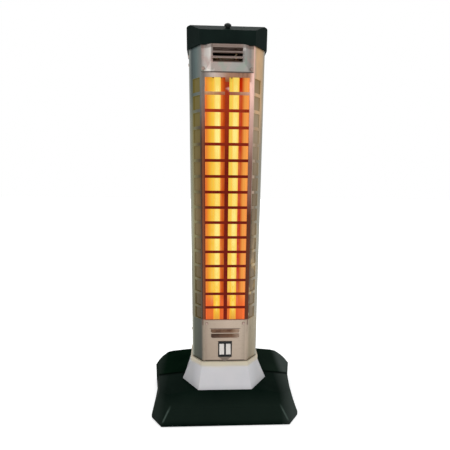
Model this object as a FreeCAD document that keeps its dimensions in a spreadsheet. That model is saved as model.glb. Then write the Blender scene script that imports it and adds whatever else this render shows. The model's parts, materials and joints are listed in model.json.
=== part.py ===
import FreeCAD, Part
import math
import os
import Sketcher

# Quartz heater: a folded steel column on a black two-part base, with two quartz tubes behind a
# punched grille. Millimetres, +Z up, +X to the right and -Y towards the viewer.
# The origin is on the floor, under the middle of the column.

SIZES = {
    # Column
    "column_width": 120.0,
    "column_depth": 91.5,
    "chamfer_width": 19.0,
    "chamfer_depth": 23.2,
    "sheet": 0.8,
    "sheet_gap": 0.1,
    "column_top": 626.0,
    "cover_lap": 14.0,
    "cut_overrun": 1.0,
    # Window grid
    "window_lap": 1.0,
    "window_top_drop": 51.3,
    "bar_height": 4.6,
    "window_half_width": 34.8,
    "centre_strip": 6.4,
    "corner_cell_margin": 2.8,
    "corner_cell_width": 18.0,
    # Louvres
    "hood_sheet": 0.7,
    "upper_hood_height": 3.2,
    "upper_hood_reach": 2.4,
    "upper_slot_height": 3.2,
    "upper_hood_pitch": 7.1,
    "upper_hood_width": 50.0,
    "vent_screw_rise": 5.0,
    "upper_hood_drop": 2.8,
    "lower_hood_height": 7.2,
    "lower_hood_reach": 3.8,
    "lower_slot_height": 1.4,
    "lower_hood_pitch": 8.9,
    "lower_hood_width": 51.6,
    "hood_taper": 2.6,
    "lower_hood_drop": 16.2,
    "rear_hood_pitch": 11.0,
    "rear_hood_width": 60.0,
    "rear_upper_hood_drop": 26.0,
    "rear_lower_hood_rise": 2.4,
    # Upper vent panel
    "vent_panel_half_width": 40.3,
    "vent_panel_height": 37.5,
    "vent_flange": 6.0,
    "vent_flange_low": 1.0,
    "vent_face_half_width": 25.5,
    "vent_face_height": 23.9,
    "vent_face_rise": 6.0,
    # Control panel
    "control_panel_half_width": 36.0,
    "control_panel_gap": 1.4,
    "control_panel_height": 79.2,
    "panel_screw_inset": 2.8,
    "panel_screw_drop": 6.2,
    "panel_screw_length": 4.5,
    "opening_margin": 5.0,
    "tab_half_width": 12.0,
    "tab_rise": 1.6,
    # Twin rocker switch
    "switch_rise": 23.2,
    "bezel_width": 25.0,
    "bezel_height": 30.4,
    "bezel_thickness": 2.0,
    "bezel_edge": 0.8,
    "switch_body_width": 22.2,
    "switch_body_height": 27.0,
    "switch_body_depth": 21.0,
    "switch_fit": 0.2,
    "rocker_width": 8.5,
    "rocker_radius": 11.0,
    "rocker_side_gap": 0.2,
    "rocker_end_gap": 0.3,
    "rocker_divider": 3.0,
    "rocker_pivot_depth": 4.0,
    "rocker_waist": 3.4,
    "rocker_wing": 5.2,
    "rocker_back": 2.4,
    "rocker_back_half_height": 5.0,
    "rocker_tilt": 10.0,
    "stub_radius": 1.4,
    "stub_length": 1.0,
    "stub_clearance": 0.05,
    "well_depth": 11.5,
    "blade_width": 4.8,
    "blade_thickness": 0.8,
    "blade_length": 7.0,
    "blade_spread": 16.0,
    # Tubes and their ends
    "tube_spacing": 30.0,
    "tube_setback": 26.5,
    "tube_diameter": 11.6,
    "tube_wall": 1.2,
    "tube_fit": 0.1,
    "ceramic_diameter": 17.0,
    "ceramic_length": 14.0,
    "ceramic_socket": 8.0,
    "ceramic_neck_diameter": 13.0,
    "ceramic_neck_length": 10.0,
    "ceramic_edge": 1.0,
    "ceramic_hole": 3.0,
    "coil_diameter": 6.0,
    "coil_end_gap": 6.0,
    "tail_diameter": 2.4,
    "tail_reach": 5.0,
    "nut_flats": 5.5,
    "nut_height": 2.6,
    "nut_hole": 2.6,
    "bridge_thickness": 1.0,
    "bridge_width": 9.0,
    # Brackets
    "bracket_sheet": 1.2,
    "bracket_flange": 12.0,
    "bracket_front": 29.0,
    "bracket_hole_y": 10.0,
    "lower_bracket_drop": 24.0,
    "upper_bracket_drop": 34.0,
    "top_plate_drop": 4.0,
    # Reflector
    "reflector_sheet": 0.6,
    "reflector_lip_x": 39.8,
    "reflector_lip_gap": 1.0,
    "reflector_flank_x": 34.0,
    "reflector_flank_y": 14.0,
    "reflector_back_x": 26.0,
    "reflector_back_y": 3.0,
    "reflector_groove_x": 6.0,
    "reflector_ridge_y": 12.0,
    "reflector_wing_gap": 1.2,
    # Cap
    "cap_lap": 9.5,
    "cap_front_height": 20.0,
    "cap_height": 31.5,
    "cap_overhang": 3.0,
    "cap_setback": 18.0,
    "cap_wall": 2.5,
    "cap_end_round": 2.4,
    "cap_roof": 3.0,
    "cap_boss_diameter": 9.0,
    "cap_boss_x": 35.0,
    "knob_diameter": 10.8,
    "knob_height": 6.2,
    "knob_neck_diameter": 7.4,
    "knob_neck_height": 2.4,
    "knob_edge": 1.4,
    "knob_stem_diameter": 4.0,
    "knob_stem_length": 7.0,
    "knob_fit": 0.2,
    # Collar
    "collar_height": 46.0,
    "collar_rim_height": 8.5,
    "collar_rim_offset": 3.6,
    "collar_gap": 0.3,
    "collar_wall": 3.0,
    "collar_front_flare": 7.7,
    "collar_front_reach": 21.75,
    "collar_side_flare": 19.6,
    "collar_side_lead": 1.65,
    "collar_hip_flare": 15.0,
    "collar_hip_y": 8.0,
    "collar_rear_flare": 5.0,
    "collar_rear_reach": 9.25,
    # Base
    "base_height": 47.0,
    "base_wall": 3.0,
    "base_roof": 3.0,
    "base_half_width": 132.5,
    "base_front_y": 107.6,
    "base_lip_height": 6.5,
    "base_corner_inset": 20.3,
    "base_corner_run": 27.6,
    "crown_seam_inset": 4.5,
    "crown_side_inset": 14.5,
    "crown_side_setback": 53.6,
    "crown_corner_inset": 43.5,
    "crown_front_setback": 24.6,
    "brow_setback": 39.6,
    "brow_edge_setback": 13.6,
    "base_brow_edge_height": 29.0,
    "base_hip_x": 62.0,
    "base_hip_drop": 8.5,
    "rear_overhang": 8.5,
    "rear_bulge_setback": 56.0,
    "rear_shoulder_inset": 4.0,
    "rear_shoulder_setback": 36.1,
    "rear_turn_inset": 9.0,
    "rear_turn_setback": 22.1,
    "rear_corner_inset": 19.5,
    "rear_corner_setback": 3.6,
    "rear_flat_inset": 31.0,
    "scallop_inset": 3.5,
    "scallop_start_y": 14.0,
    "scallop_end_y": 32.0,
    "scallop_radius": 26.0,
    "edge_round": 2.0,
    "seam_groove": 1.6,
    "boss_radius": 6.0,
    "foot_gap": 1.5,
    "foot_radius": 10.0,
    "foot_height": 5.0,
    "foot_inset": 30.5,
    "foot_front_setback": 35.6,
    "foot_rear_setback": 25.1,
    "lead_hole_y": 24.0,
    "lead_hole_radius": 7.0,
    # Foot plate
    "foot_plate_sheet": 1.5,
    "foot_lug_height": 14.0,
    "foot_lug_half_depth": 16.0,
    "foot_screw_x": 40.0,
    "foot_screw_y": 33.0,
    # Screws
    "screw_diameter": 2.9,
    "screw_hole": 3.1,
    "screw_head_diameter": 5.6,
    "screw_head_height": 1.4,
    "screw_length": 7.0,
    "base_screw_length": 14.0,
    # Mains parts
    "block_length": 32.0,
    "block_width": 16.0,
    "block_height": 14.0,
    "block_x": -22.0,
    "block_y": 6.0,
    "block_pocket_radius": 2.6,
    "block_pocket_depth": 4.0,
    "block_pitch": 9.0,
    "gland_drop": 23.0,
    "gland_radius": 8.0,
    "gland_bore": 4.0,
    "gland_flange": 11.0,
    "gland_flange_thickness": 2.5,
    "gland_reach": 14.0,
    "lead_diameter": 2.4,
    "lead_bend": 4.0,
    "lead_back_gap": 12.0,
    "lead_stand": 3.5,
}

# Shares are plain ratios of the sizes that they follow.
SHARES = {
    "screw_crown_share": 0.7,
    "void_side_share": 0.62,
    "brow_reach_share": 0.6,
}

ROWS = 16
UPPER_HOODS = 3
LOWER_HOODS = 2
REAR_HOODS = 5
BLOCK_WAYS = 3
LEAD_SIDES = 8
TOUCH = 1e-6
X_AXIS = FreeCAD.Vector(1, 0, 0)

doc = FreeCAD.newDocument("QuartzHeater")
table = doc.addObject("Spreadsheet::Sheet", "Sizes")
for row, (alias, value) in enumerate({**SIZES, **SHARES}.items(), start=1):
    table.set(f"A{row}", alias)
    table.set(f"B{row}", str(value))
    table.setAlias(f"B{row}", alias)
doc.recompute()


class Size:
    """A length or ratio with its value, and the formula over the sheet's cells that gives it."""

    def __init__(self, value, formula):
        self.value = value
        self.formula = formula

    def __add__(self, other):
        other = as_size(other)
        return Size(self.value + other.value, f"({self.formula} + {other.formula})")

    def __sub__(self, other):
        other = as_size(other)
        return Size(self.value - other.value, f"({self.formula} - {other.formula})")

    def __mul__(self, other):
        other = as_size(other)
        return Size(self.value * other.value, f"({self.formula} * {other.formula})")

    def __truediv__(self, other):
        other = as_size(other)
        return Size(self.value / other.value, f"({self.formula} / {other.formula})")

    def __neg__(self):
        return Size(-self.value, f"(-1 * {self.formula})")


def root(size):
    return Size(math.sqrt(size.value), f"sqrt({size.formula})")


def slope_angle(rise, run):
    """The angle, in degrees, of a line that climbs by rise over run."""
    degrees = math.degrees(math.atan2(rise.value, run.value))
    return Size(degrees, f"atan2({rise.formula}; {run.formula})")


def as_size(number):
    return number if isinstance(number, Size) else Size(float(number), repr(float(number)))


def cell(alias):
    return Size(float(table.get(alias)), f"Sizes.{alias}")


class Cells:
    """Every cell of the sheet as an attribute, such as d.column_width."""

    def __init__(self):
        for alias in {**SIZES, **SHARES}:
            setattr(self, alias, cell(alias))


d = Cells()
ZERO = as_size(0)

# Places that several pieces share.
half_width = d.column_width / 2
half_depth = d.column_depth / 2
face_y = -half_depth
panel_y = face_y - d.sheet
column_bottom = d.base_height + d.foot_plate_sheet
tube_x = d.tube_spacing / 2
tube_y = face_y + d.tube_setback
inner_x = half_width - d.sheet - d.sheet_gap
front_half_width = half_width - d.chamfer_width
side_half_depth = half_depth - d.chamfer_depth
cover_edge = side_half_depth - d.cover_lap
bracket_rear = cover_edge - d.sheet_gap
chamfer_angle = slope_angle(d.chamfer_depth, d.chamfer_width)
chamfer_slant = root(d.chamfer_width * d.chamfer_width + d.chamfer_depth * d.chamfer_depth)
screw_radius = d.screw_diameter / 2
hole_radius = d.screw_hole / 2

# The collar's outline where it stands on the base.
collar_front_x = front_half_width + d.collar_front_flare
collar_front_y = half_depth + d.collar_front_reach
collar_side_x = half_width + d.collar_side_flare
collar_side_y = side_half_depth + d.collar_side_lead
collar_hip_x = half_width + d.collar_hip_flare
collar_rear_x = front_half_width + d.collar_rear_flare
collar_rear_y = half_depth + d.collar_rear_reach

# Heights from the floor up, and from the column's top down.
collar_rim_top = d.base_height + d.collar_height
collar_rim_bottom = collar_rim_top - d.collar_rim_height
control_panel_bottom = collar_rim_top + d.control_panel_gap
control_panel_top = control_panel_bottom + d.control_panel_height
switch_centre = control_panel_bottom + d.switch_rise
lower_hood_top = control_panel_top - d.lower_hood_drop
rear_lower_hood_top = control_panel_top + d.rear_lower_hood_rise
lower_bracket_top = control_panel_top - d.lower_bracket_drop
cap_bottom = d.column_top - d.cap_lap
top_plate_bottom = d.column_top - d.top_plate_drop
upper_bracket_bottom = d.column_top - d.upper_bracket_drop
tail_bottom = lower_bracket_top - d.ceramic_neck_length - d.tail_reach
tail_top = upper_bracket_bottom + d.ceramic_neck_length + d.tail_reach
rear_upper_hood_top = d.column_top - d.rear_upper_hood_drop
upper_hood_top = cap_bottom - d.upper_hood_drop
vent_panel_bottom = cap_bottom - d.vent_panel_height
vent_face_bottom = cap_bottom - d.vent_face_height
window_bottom = control_panel_top - d.window_lap
row_pitch = (d.column_top - d.window_top_drop - window_bottom) / ROWS
cell_height = row_pitch - d.bar_height

# The base's outline, from the front edge and the middle of each side.
rear_y = d.base_front_y - d.gland_flange_thickness
base_corner_x = d.base_half_width - d.base_corner_inset
base_corner_y = d.base_front_y - d.base_corner_run
base_crown_seam_x = d.base_half_width - d.crown_seam_inset
base_crown_side_x = d.base_half_width - d.crown_side_inset
base_crown_side_y = d.base_front_y - d.crown_side_setback
base_crown_corner_x = d.base_half_width - d.crown_corner_inset
base_crown_front_y = d.base_front_y - d.crown_front_setback
base_brow_y = d.base_front_y - d.brow_setback
base_brow_edge_y = d.base_front_y - d.brow_edge_setback
scallop_x = d.base_half_width - d.scallop_inset
base_rear_half_width = d.base_half_width + d.rear_overhang
base_rear_bulge_y = rear_y - d.rear_bulge_setback
base_rear_shoulder_x = base_rear_half_width - d.rear_shoulder_inset
base_rear_shoulder_y = rear_y - d.rear_shoulder_setback
base_rear_turn_x = base_rear_half_width - d.rear_turn_inset
base_rear_turn_y = rear_y - d.rear_turn_setback
base_rear_corner_x = base_rear_half_width - d.rear_corner_inset
base_rear_corner_y = rear_y - d.rear_corner_setback
base_rear_flat_x = base_rear_half_width - d.rear_flat_inset
foot_x = d.base_half_width - d.foot_inset
foot_front_y = d.base_front_y - d.foot_front_setback
foot_rear_y = rear_y - d.foot_rear_setback
gland_height = d.base_height - d.gland_drop


def mix(start, end, share):
    return start + (end - start) * share


# Sketches and features


def new_body(label):
    body = doc.addObject("PartDesign::Body", label)
    body.Label = label
    return body


def origin_feature(body, role):
    return next(f for f in body.Origin.OriginFeatures if f.Role == role)


def new_sketch(body, role, name, shift=None, axis=None, angle=None):
    """A sketch on an origin plane of the body, moved along its normal or turned about an axis."""
    sketch = body.newObject("Sketcher::SketchObject", f"{body.Label}_{name}")
    sketch.AttachmentSupport = [(origin_feature(body, role), "")]
    sketch.MapMode = "FlatFace"
    if axis is not None:
        rotation = FreeCAD.Rotation(axis, angle.value)
        sketch.AttachmentOffset = FreeCAD.Placement(FreeCAD.Vector(), rotation)
        sketch.setExpression("AttachmentOffset.Rotation.Angle", angle.formula)
    if shift is not None:
        sketch.setExpression("AttachmentOffset.Base.z", shift.formula)
    return sketch


def pin_point(sketch, geometry, end, x, y):
    """Holds a point of the sketch at (x, y) by dimensions from the sketch's own axes."""
    if x.value == 0 and y.value == 0:
        sketch.addConstraint(Sketcher.Constraint("Coincident", geometry, end, -1, 1))
        return
    for kind, axis, size in (("DistanceX", -2, x), ("DistanceY", -1, y)):
        if size.value == 0:
            sketch.addConstraint(Sketcher.Constraint("PointOnObject", geometry, end, axis))
        else:
            index = sketch.addConstraint(
                Sketcher.Constraint(kind, -1, 1, geometry, end, size.value)
            )
            sketch.setExpression(f"Constraints[{index}]", size.formula)


def add_outline(sketch, corners):
    """A closed outline. A corner is (x, y), or (x, y, radius, side) where an arc follows it.

    side is 1 where the arc's centre lies left of the way round, and -1 where it lies right.
    """
    points = [tuple(as_size(v) for v in corner[:2]) for corner in corners]
    vectors = [FreeCAD.Vector(x.value, y.value, 0) for x, y in points]
    ends = []
    for index, corner in enumerate(corners):
        start = vectors[index]
        finish = vectors[(index + 1) % len(corners)]
        if len(corner) == 2:
            geometry = sketch.addGeometry(Part.LineSegment(start, finish))
            ends.append((geometry, 1, 2))
            continue
        radius, side = corner[2], corner[3]
        chord = finish - start
        left = FreeCAD.Vector(-chord.y, chord.x, 0).normalize() * side
        rise = radius.value - math.sqrt(radius.value**2 - (chord.Length / 2) ** 2)
        middle = (start + finish) / 2 - left * rise
        geometry = sketch.addGeometry(Part.Arc(start, middle, finish))
        turned = sketch.getPoint(geometry, 1).distanceToPoint(start) > rise
        ends.append((geometry, 2, 1) if turned else (geometry, 1, 2))
        index = sketch.addConstraint(Sketcher.Constraint("Radius", geometry, radius.value))
        sketch.setExpression(f"Constraints[{index}]", radius.formula)
    for index, (x, y) in enumerate(points):
        geometry, start, _ = ends[index]
        before, _, finish = ends[index - 1]
        sketch.addConstraint(
            Sketcher.Constraint("Coincident", before, finish, geometry, start)
        )
        pin_point(sketch, geometry, start, x, y)


def add_rectangle(sketch, left, right, low, high):
    add_outline(sketch, [(left, low), (right, low), (right, high), (left, high)])


def add_circle(sketch, x, y, radius):
    x, y = as_size(x), as_size(y)
    centre = FreeCAD.Vector(x.value, y.value, 0)
    circle = Part.Circle(centre, FreeCAD.Vector(0, 0, 1), radius.value)
    geometry = sketch.addGeometry(circle)
    index = sketch.addConstraint(Sketcher.Constraint("Radius", geometry, radius.value))
    sketch.setExpression(f"Constraints[{index}]", radius.formula)
    pin_point(sketch, geometry, 3, x, y)


def pad(body, sketch, length, middle=False, back=False):
    feature = body.newObject("PartDesign::Pad", f"{sketch.Name}_pad")
    feature.Profile = sketch
    feature.setExpression("Length", length.formula)
    feature.SideType = "Symmetric" if middle else "One side"
    feature.Reversed = back
    doc.recompute()
    return feature


def pocket(body, sketch, length=None, back=False):
    """Cuts along the sketch's normal: by a length on one side, or all the way on both."""
    before = body.Shape.Volume
    feature = body.newObject("PartDesign::Pocket", f"{sketch.Name}_pocket")
    feature.Profile = sketch
    if length is None:
        feature.Type = "ThroughAll"
        feature.SideType = "Symmetric"
    else:
        feature.setExpression("Length", length.formula)
    feature.Reversed = back
    doc.recompute()
    if not feature.Shape.Volume < before:
        raise RuntimeError(f"{feature.Name} cuts nothing")
    return feature


def loft(body, kind, lower, upper):
    feature = body.newObject(f"PartDesign::{kind}", f"{lower.Name}_loft")
    feature.Profile = lower
    feature.Sections = [upper]
    feature.Ruled = True
    doc.recompute()
    return feature


def revolve(body, sketch):
    feature = body.newObject("PartDesign::Revolution", f"{sketch.Name}_turned")
    feature.Profile = sketch
    feature.ReferenceAxis = (sketch, ["V_Axis"])
    doc.recompute()
    return feature


def row_pattern(body, originals, axis, pitch, count, name, back=False):
    feature = body.newObject("PartDesign::LinearPattern", f"{body.Label}_{name}")
    feature.Originals = originals
    feature.Direction = (origin_feature(body, axis), [""])
    feature.Mode = "Spacing"
    feature.setExpression("Offset", pitch.formula)
    feature.Occurrences = count
    feature.Reversed = back
    body.Tip = feature
    doc.recompute()
    return feature


def round_edges(body, radius, wanted, kind="Fillet"):
    """Rounds or bevels the edges of the body for which wanted(edge) is true."""
    base = body.Tip
    names = [f"Edge{i}" for i, edge in enumerate(base.Shape.Edges, start=1) if wanted(edge)]
    feature = body.newObject(f"PartDesign::{kind}", f"{body.Label}_{kind}")
    feature.Base = (base, names)
    feature.setExpression("Radius" if kind == "Fillet" else "Size", radius.formula)
    doc.recompute()
    return feature


def place(part, x, y, z, rotation=None, angle=None):
    """Places a part. A rotation is a fixed one, or the axis that the part turns about by angle."""
    if angle is not None:
        rotation = FreeCAD.Rotation(rotation, angle.value)
    part.Placement = FreeCAD.Placement(FreeCAD.Vector(), rotation or FreeCAD.Rotation())
    if angle is not None:
        part.setExpression("Placement.Rotation.Angle", angle.formula)
    for axis, size in (("x", x), ("y", y), ("z", z)):
        part.setExpression(f"Placement.Base.{axis}", as_size(size).formula)


# Outlines that several pieces share


def octagon_corner(offset):
    """The column's corner points, moved out by offset: half widths and depths of both ends."""
    wide = half_width + offset
    deep = half_depth + offset
    narrow = front_half_width + offset * d.chamfer_depth / (chamfer_slant + d.chamfer_width)
    shallow = side_half_depth + offset * d.chamfer_width / (chamfer_slant + d.chamfer_depth)
    return wide, deep, narrow, shallow


def octagon(offset):
    wide, deep, narrow, shallow = octagon_corner(offset)
    return [
        (narrow, -deep),
        (wide, -shallow),
        (wide, shallow),
        (narrow, deep),
        (-narrow, deep),
        (-wide, shallow),
        (-wide, -shallow),
        (-narrow, -deep),
    ]


def folded_sheet(offset, end_y, front):
    """Three faces and two sides of the octagon as a folded sheet, whose sides stop at end_y."""
    sign = -1 if front else 1
    outline = []
    for shift, turn in ((offset, 1), (offset - d.sheet, -1)):
        wide, deep, narrow, shallow = octagon_corner(shift)
        side = [(wide, end_y), (wide, shallow * sign), (narrow, deep * sign)]
        left = [(-x, y) for x, y in side]
        outline += (side + left[::-1])[::turn]
    return outline


def add_louvres(body, name, face, side, top, height, reach, slot, width, pitch, count):
    """Pressed hoods, open below, each over its own slot. side is -1 at the front, 1 behind."""
    bottom = top - height
    half = width / 2
    skin = d.hood_sheet
    foot = new_sketch(body, "XZ_Plane", f"{name}_hood_foot", d.sheet / 2 * side - face)
    add_rectangle(foot, -half, half, bottom, top)
    lip = new_sketch(body, "XZ_Plane", f"{name}_hood_lip", -face - reach * side)
    lip_half = half - d.hood_taper
    add_rectangle(lip, -lip_half, lip_half, bottom, bottom + skin)
    hood = loft(body, "AdditiveLoft", foot, lip)
    mouth = new_sketch(body, "XZ_Plane", f"{name}_void_mouth", (d.sheet + d.hood_taper) * side - face)
    mouth_half = half - skin
    add_rectangle(mouth, -mouth_half, mouth_half, bottom - slot, top - skin)
    throat = new_sketch(body, "XZ_Plane", f"{name}_void_throat", -face - (reach - skin) * side)
    throat_half = lip_half - skin
    add_rectangle(throat, -throat_half, throat_half, bottom - slot, bottom + skin / 2)
    void = loft(body, "SubtractiveLoft", mouth, throat)
    row_pattern(body, [hood, void], "Z_Axis", pitch, count, f"{name}_row", back=True)


def screw_group(label, spots, length):
    """Pan-head screws as one compound. A spot is (x, y, z, rotation) at the seat of the head."""
    screws = []
    for number, (x, y, z, rotation) in enumerate(spots, start=1):
        shank = doc.addObject("Part::Cylinder", f"{label}_shank_{number}")
        shank.setExpression("Radius", screw_radius.formula)
        shank.setExpression("Height", (length + d.screw_head_height / 2).formula)
        shank.setExpression("Placement.Base.z", (-length).formula)
        head = doc.addObject("Part::Cone", f"{label}_head_{number}")
        head_radius = d.screw_head_diameter / 2
        head.setExpression("Radius1", head_radius.formula)
        head.setExpression("Radius2", (head_radius * d.screw_crown_share).formula)
        head.setExpression("Height", d.screw_head_height.formula)
        screw = doc.addObject("Part::Fuse", f"{label}_{number}")
        screw.Base = head
        screw.Tool = shank
        place(screw, x, y, z, rotation)
        screws.append(screw)
    group = doc.addObject("Part::Compound", label)
    group.Label = label
    group.Links = screws
    doc.recompute()
    return group


FACE_FRONT = FreeCAD.Rotation(FreeCAD.Vector(1, 0, 0), 90)
FACE_REAR = FreeCAD.Rotation(FreeCAD.Vector(1, 0, 0), -90)
FACE_RIGHT = FreeCAD.Rotation(FreeCAD.Vector(0, 1, 0), 90)
FACE_LEFT = FreeCAD.Rotation(FreeCAD.Vector(0, 1, 0), -90)
FACE_UP = FreeCAD.Rotation()
FACE_DOWN = FreeCAD.Rotation(FreeCAD.Vector(1, 0, 0), 180)
parts = []


# Base halves


def half_tray(seam_x, side_x, side_y, corner_x, front_y, seam_y):
    right = [(seam_x, -seam_y), (side_x, -side_y), (corner_x, -front_y)]
    return right + [(-x, y) for x, y in right[::-1]]


def build_base_front():
    body = new_body("base_front_half")
    lip_top = d.foot_gap + d.base_lip_height
    skirt = (d.base_half_width, d.base_half_width, base_corner_y)
    skirt += (base_corner_x, d.base_front_y, ZERO)
    crown = (base_crown_seam_x, base_crown_side_x, base_crown_side_y)
    crown += (base_crown_corner_x, base_crown_front_y, ZERO)
    lip = new_sketch(body, "XY_Plane", "lip", d.foot_gap)
    add_outline(lip, half_tray(*skirt))
    pad(body, lip, d.base_lip_height)
    lower = new_sketch(body, "XY_Plane", "lower", lip_top)
    add_outline(lower, half_tray(*skirt))
    upper = new_sketch(body, "XY_Plane", "upper", d.base_height)
    add_outline(upper, half_tray(*crown))
    loft(body, "AdditiveLoft", lower, upper)

    brow = new_sketch(body, "YZ_Plane", "brow")
    fall = (d.base_height - d.base_brow_edge_height) * d.brow_reach_share
    run = (base_brow_edge_y - base_brow_y) * d.brow_reach_share
    far_y = -base_brow_edge_y - run
    over = d.base_height + d.cut_overrun
    add_outline(
        brow,
        [
            (-base_brow_y, d.base_height),
            (-base_brow_y, over),
            (far_y, over),
            (far_y, d.base_brow_edge_height - fall),
        ],
    )
    pocket(body, brow)
    cut_base_hips(body)
    soften_base(body, d.base_brow_edge_height)

    # The hollow has a low part under the brow and a high part under the column.
    rise = d.base_brow_edge_height - d.base_roof - lip_top
    share = rise / (d.base_height - lip_top)
    thick = d.base_wall
    inner_low = [size - thick for size in skirt[:5]] + [thick]
    inner_high = [mix(a, b, share) - thick for a, b in zip(skirt[:5], crown[:5])] + [thick]
    mouth = new_sketch(body, "XY_Plane", "mouth", d.foot_gap - d.cut_overrun)
    add_outline(mouth, half_tray(*inner_low))
    ceiling = new_sketch(body, "XY_Plane", "ceiling", lip_top + rise)
    add_outline(ceiling, half_tray(*inner_high))
    loft(body, "SubtractiveLoft", mouth, ceiling)
    add_upper_hollow(body, -base_brow_y + thick, -thick, lip_top + rise)
    add_base_bosses(body, -1, foot_front_y, lip_top + rise)
    parts.append(body)


def cut_base_hips(body):
    hips = new_sketch(body, "XZ_Plane", "hips")
    far = base_rear_half_width + d.cut_overrun
    for side in (1, -1):
        add_outline(
            hips,
            [
                (d.base_hip_x * side, d.base_height),
                (far * side, d.base_height - d.base_hip_drop),
                (far * side, d.base_height + d.cut_overrun),
            ],
        )
    pocket(body, hips)


def cut_seam_groove(body):
    """A groove across the rear half's top, where it meets the front half."""
    groove = new_sketch(body, "XZ_Plane", "seam_groove")
    far = base_rear_half_width + d.cut_overrun
    top = d.base_height - d.seam_groove
    over = d.base_height + d.cut_overrun
    right = [(far, over), (far, top - d.base_hip_drop), (d.base_hip_x, top)]
    add_outline(groove, right + [(-x, z) for x, z in right[::-1]])
    pocket(body, groove, d.seam_groove)


def add_upper_hollow(body, y_near, y_far, floor):
    """The part of a half's hollow that reaches up between the brow and the seam."""
    top = d.base_height - d.base_hip_drop - d.base_roof
    hollow = new_sketch(body, "XY_Plane", "hollow", floor - d.cut_overrun)
    reach = mix(d.base_half_width, base_crown_side_x, d.void_side_share) - d.base_wall * 3
    add_rectangle(hollow, -reach, reach, y_near, y_far)
    pocket(body, hollow, top - floor + d.cut_overrun, back=True)


def add_base_bosses(body, sign, foot_y, ceiling):
    """Two bosses that carry the feet, and two that take the foot plate's screws."""
    seat = d.foot_height
    feet = new_sketch(body, "XY_Plane", "foot_bosses", seat)
    posts = new_sketch(body, "XY_Plane", "screw_posts", ceiling - d.boss_radius)
    top = d.base_height - d.base_hip_drop
    pilot = new_sketch(body, "XY_Plane", "pilot_holes", d.base_height)
    foot_pilot = new_sketch(body, "XY_Plane", "foot_pilots", seat)
    for side in (1, -1):
        add_circle(feet, foot_x * side, foot_y * sign, d.foot_radius)
        add_circle(posts, d.foot_screw_x * side, d.foot_screw_y * sign, d.boss_radius)
        add_circle(pilot, d.foot_screw_x * side, d.foot_screw_y * sign, screw_radius + d.knob_fit)
        add_circle(foot_pilot, foot_x * side, foot_y * sign, screw_radius + d.knob_fit)
    pad(body, feet, ceiling - seat + d.cut_overrun)
    pad(body, posts, top - ceiling + d.boss_radius)
    pocket(body, pilot, d.base_screw_length + d.cut_overrun)
    pocket(body, foot_pilot, d.screw_length, back=True)


def soften_base(body, low):
    """Rounds a half's upper outer edges, but not its seam or the creases across its top."""
    slack = d.cut_overrun.value

    def upper_outer(edge):
        box = edge.BoundBox
        crease = box.XLength < slack and box.YLength > base_brow_y.value / 2
        brow = box.XLength > base_crown_corner_x.value and abs(box.YMax + base_brow_y.value) < slack
        return box.ZMin > low.value - slack and box.YLength + abs(box.YMax) > slack and not (crease or brow)

    round_edges(body, d.edge_round, upper_outer)


def rear_outline(seam):
    right = seam + [
        (base_rear_half_width, base_rear_bulge_y),
        (base_rear_shoulder_x, base_rear_shoulder_y),
        (base_rear_turn_x, base_rear_turn_y),
        (base_rear_corner_x, base_rear_corner_y),
        (base_rear_flat_x, rear_y),
    ]
    left = [(-corner[0], corner[1]) for corner in right[::-1]]
    outline = right + left
    # The arc of the scallop follows its start on the right and its end on the left.
    for index, corner in enumerate(right):
        if len(corner) == 4:
            outline[len(outline) - 2 - index] += (corner[2], corner[3])
    return outline


def build_base_rear():
    body = new_body("base_rear_half")
    lip_top = d.foot_gap + d.base_lip_height
    lip = new_sketch(body, "XY_Plane", "lip", d.foot_gap)
    add_outline(lip, rear_outline([(d.base_half_width, ZERO)]))
    pad(body, lip, d.base_lip_height)
    wall = new_sketch(body, "XY_Plane", "wall", lip_top)
    seam = [
        (scallop_x, ZERO),
        (scallop_x, d.scallop_start_y, d.scallop_radius, 1),
        (d.base_half_width, d.scallop_end_y),
    ]
    add_outline(wall, rear_outline(seam))
    pad(body, wall, d.base_height - lip_top)
    cut_base_hips(body)
    soften_base(body, d.base_height - d.base_hip_drop)
    cut_seam_groove(body)

    ceiling = d.base_height - d.base_hip_drop - d.base_roof
    hollow = new_sketch(body, "XY_Plane", "hollow", d.foot_gap)
    thick = d.base_wall
    side = scallop_x - thick
    right = [
        (side, thick),
        (side, base_rear_shoulder_y),
        (base_rear_corner_x - thick, base_rear_turn_y),
        (base_rear_flat_x, rear_y - thick),
    ]
    add_outline(hollow, right + [(-x, y) for x, y in right[::-1]])
    pocket(body, hollow, ceiling - d.foot_gap, back=True)
    add_base_bosses(body, 1, foot_rear_y, ceiling)

    passage = new_sketch(body, "XY_Plane", "lead_hole", d.base_height)
    add_circle(passage, 0, d.lead_hole_y, d.lead_hole_radius)
    pocket(body, passage, d.base_height - ceiling + d.cut_overrun)
    inlet = new_sketch(body, "XZ_Plane", "inlet", -rear_y)
    add_circle(inlet, 0, gland_height, d.gland_radius + d.knob_fit)
    pocket(body, inlet, thick + d.cut_overrun, back=True)
    parts.append(body)


# Feet, foot plate and the screws of the base


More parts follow.
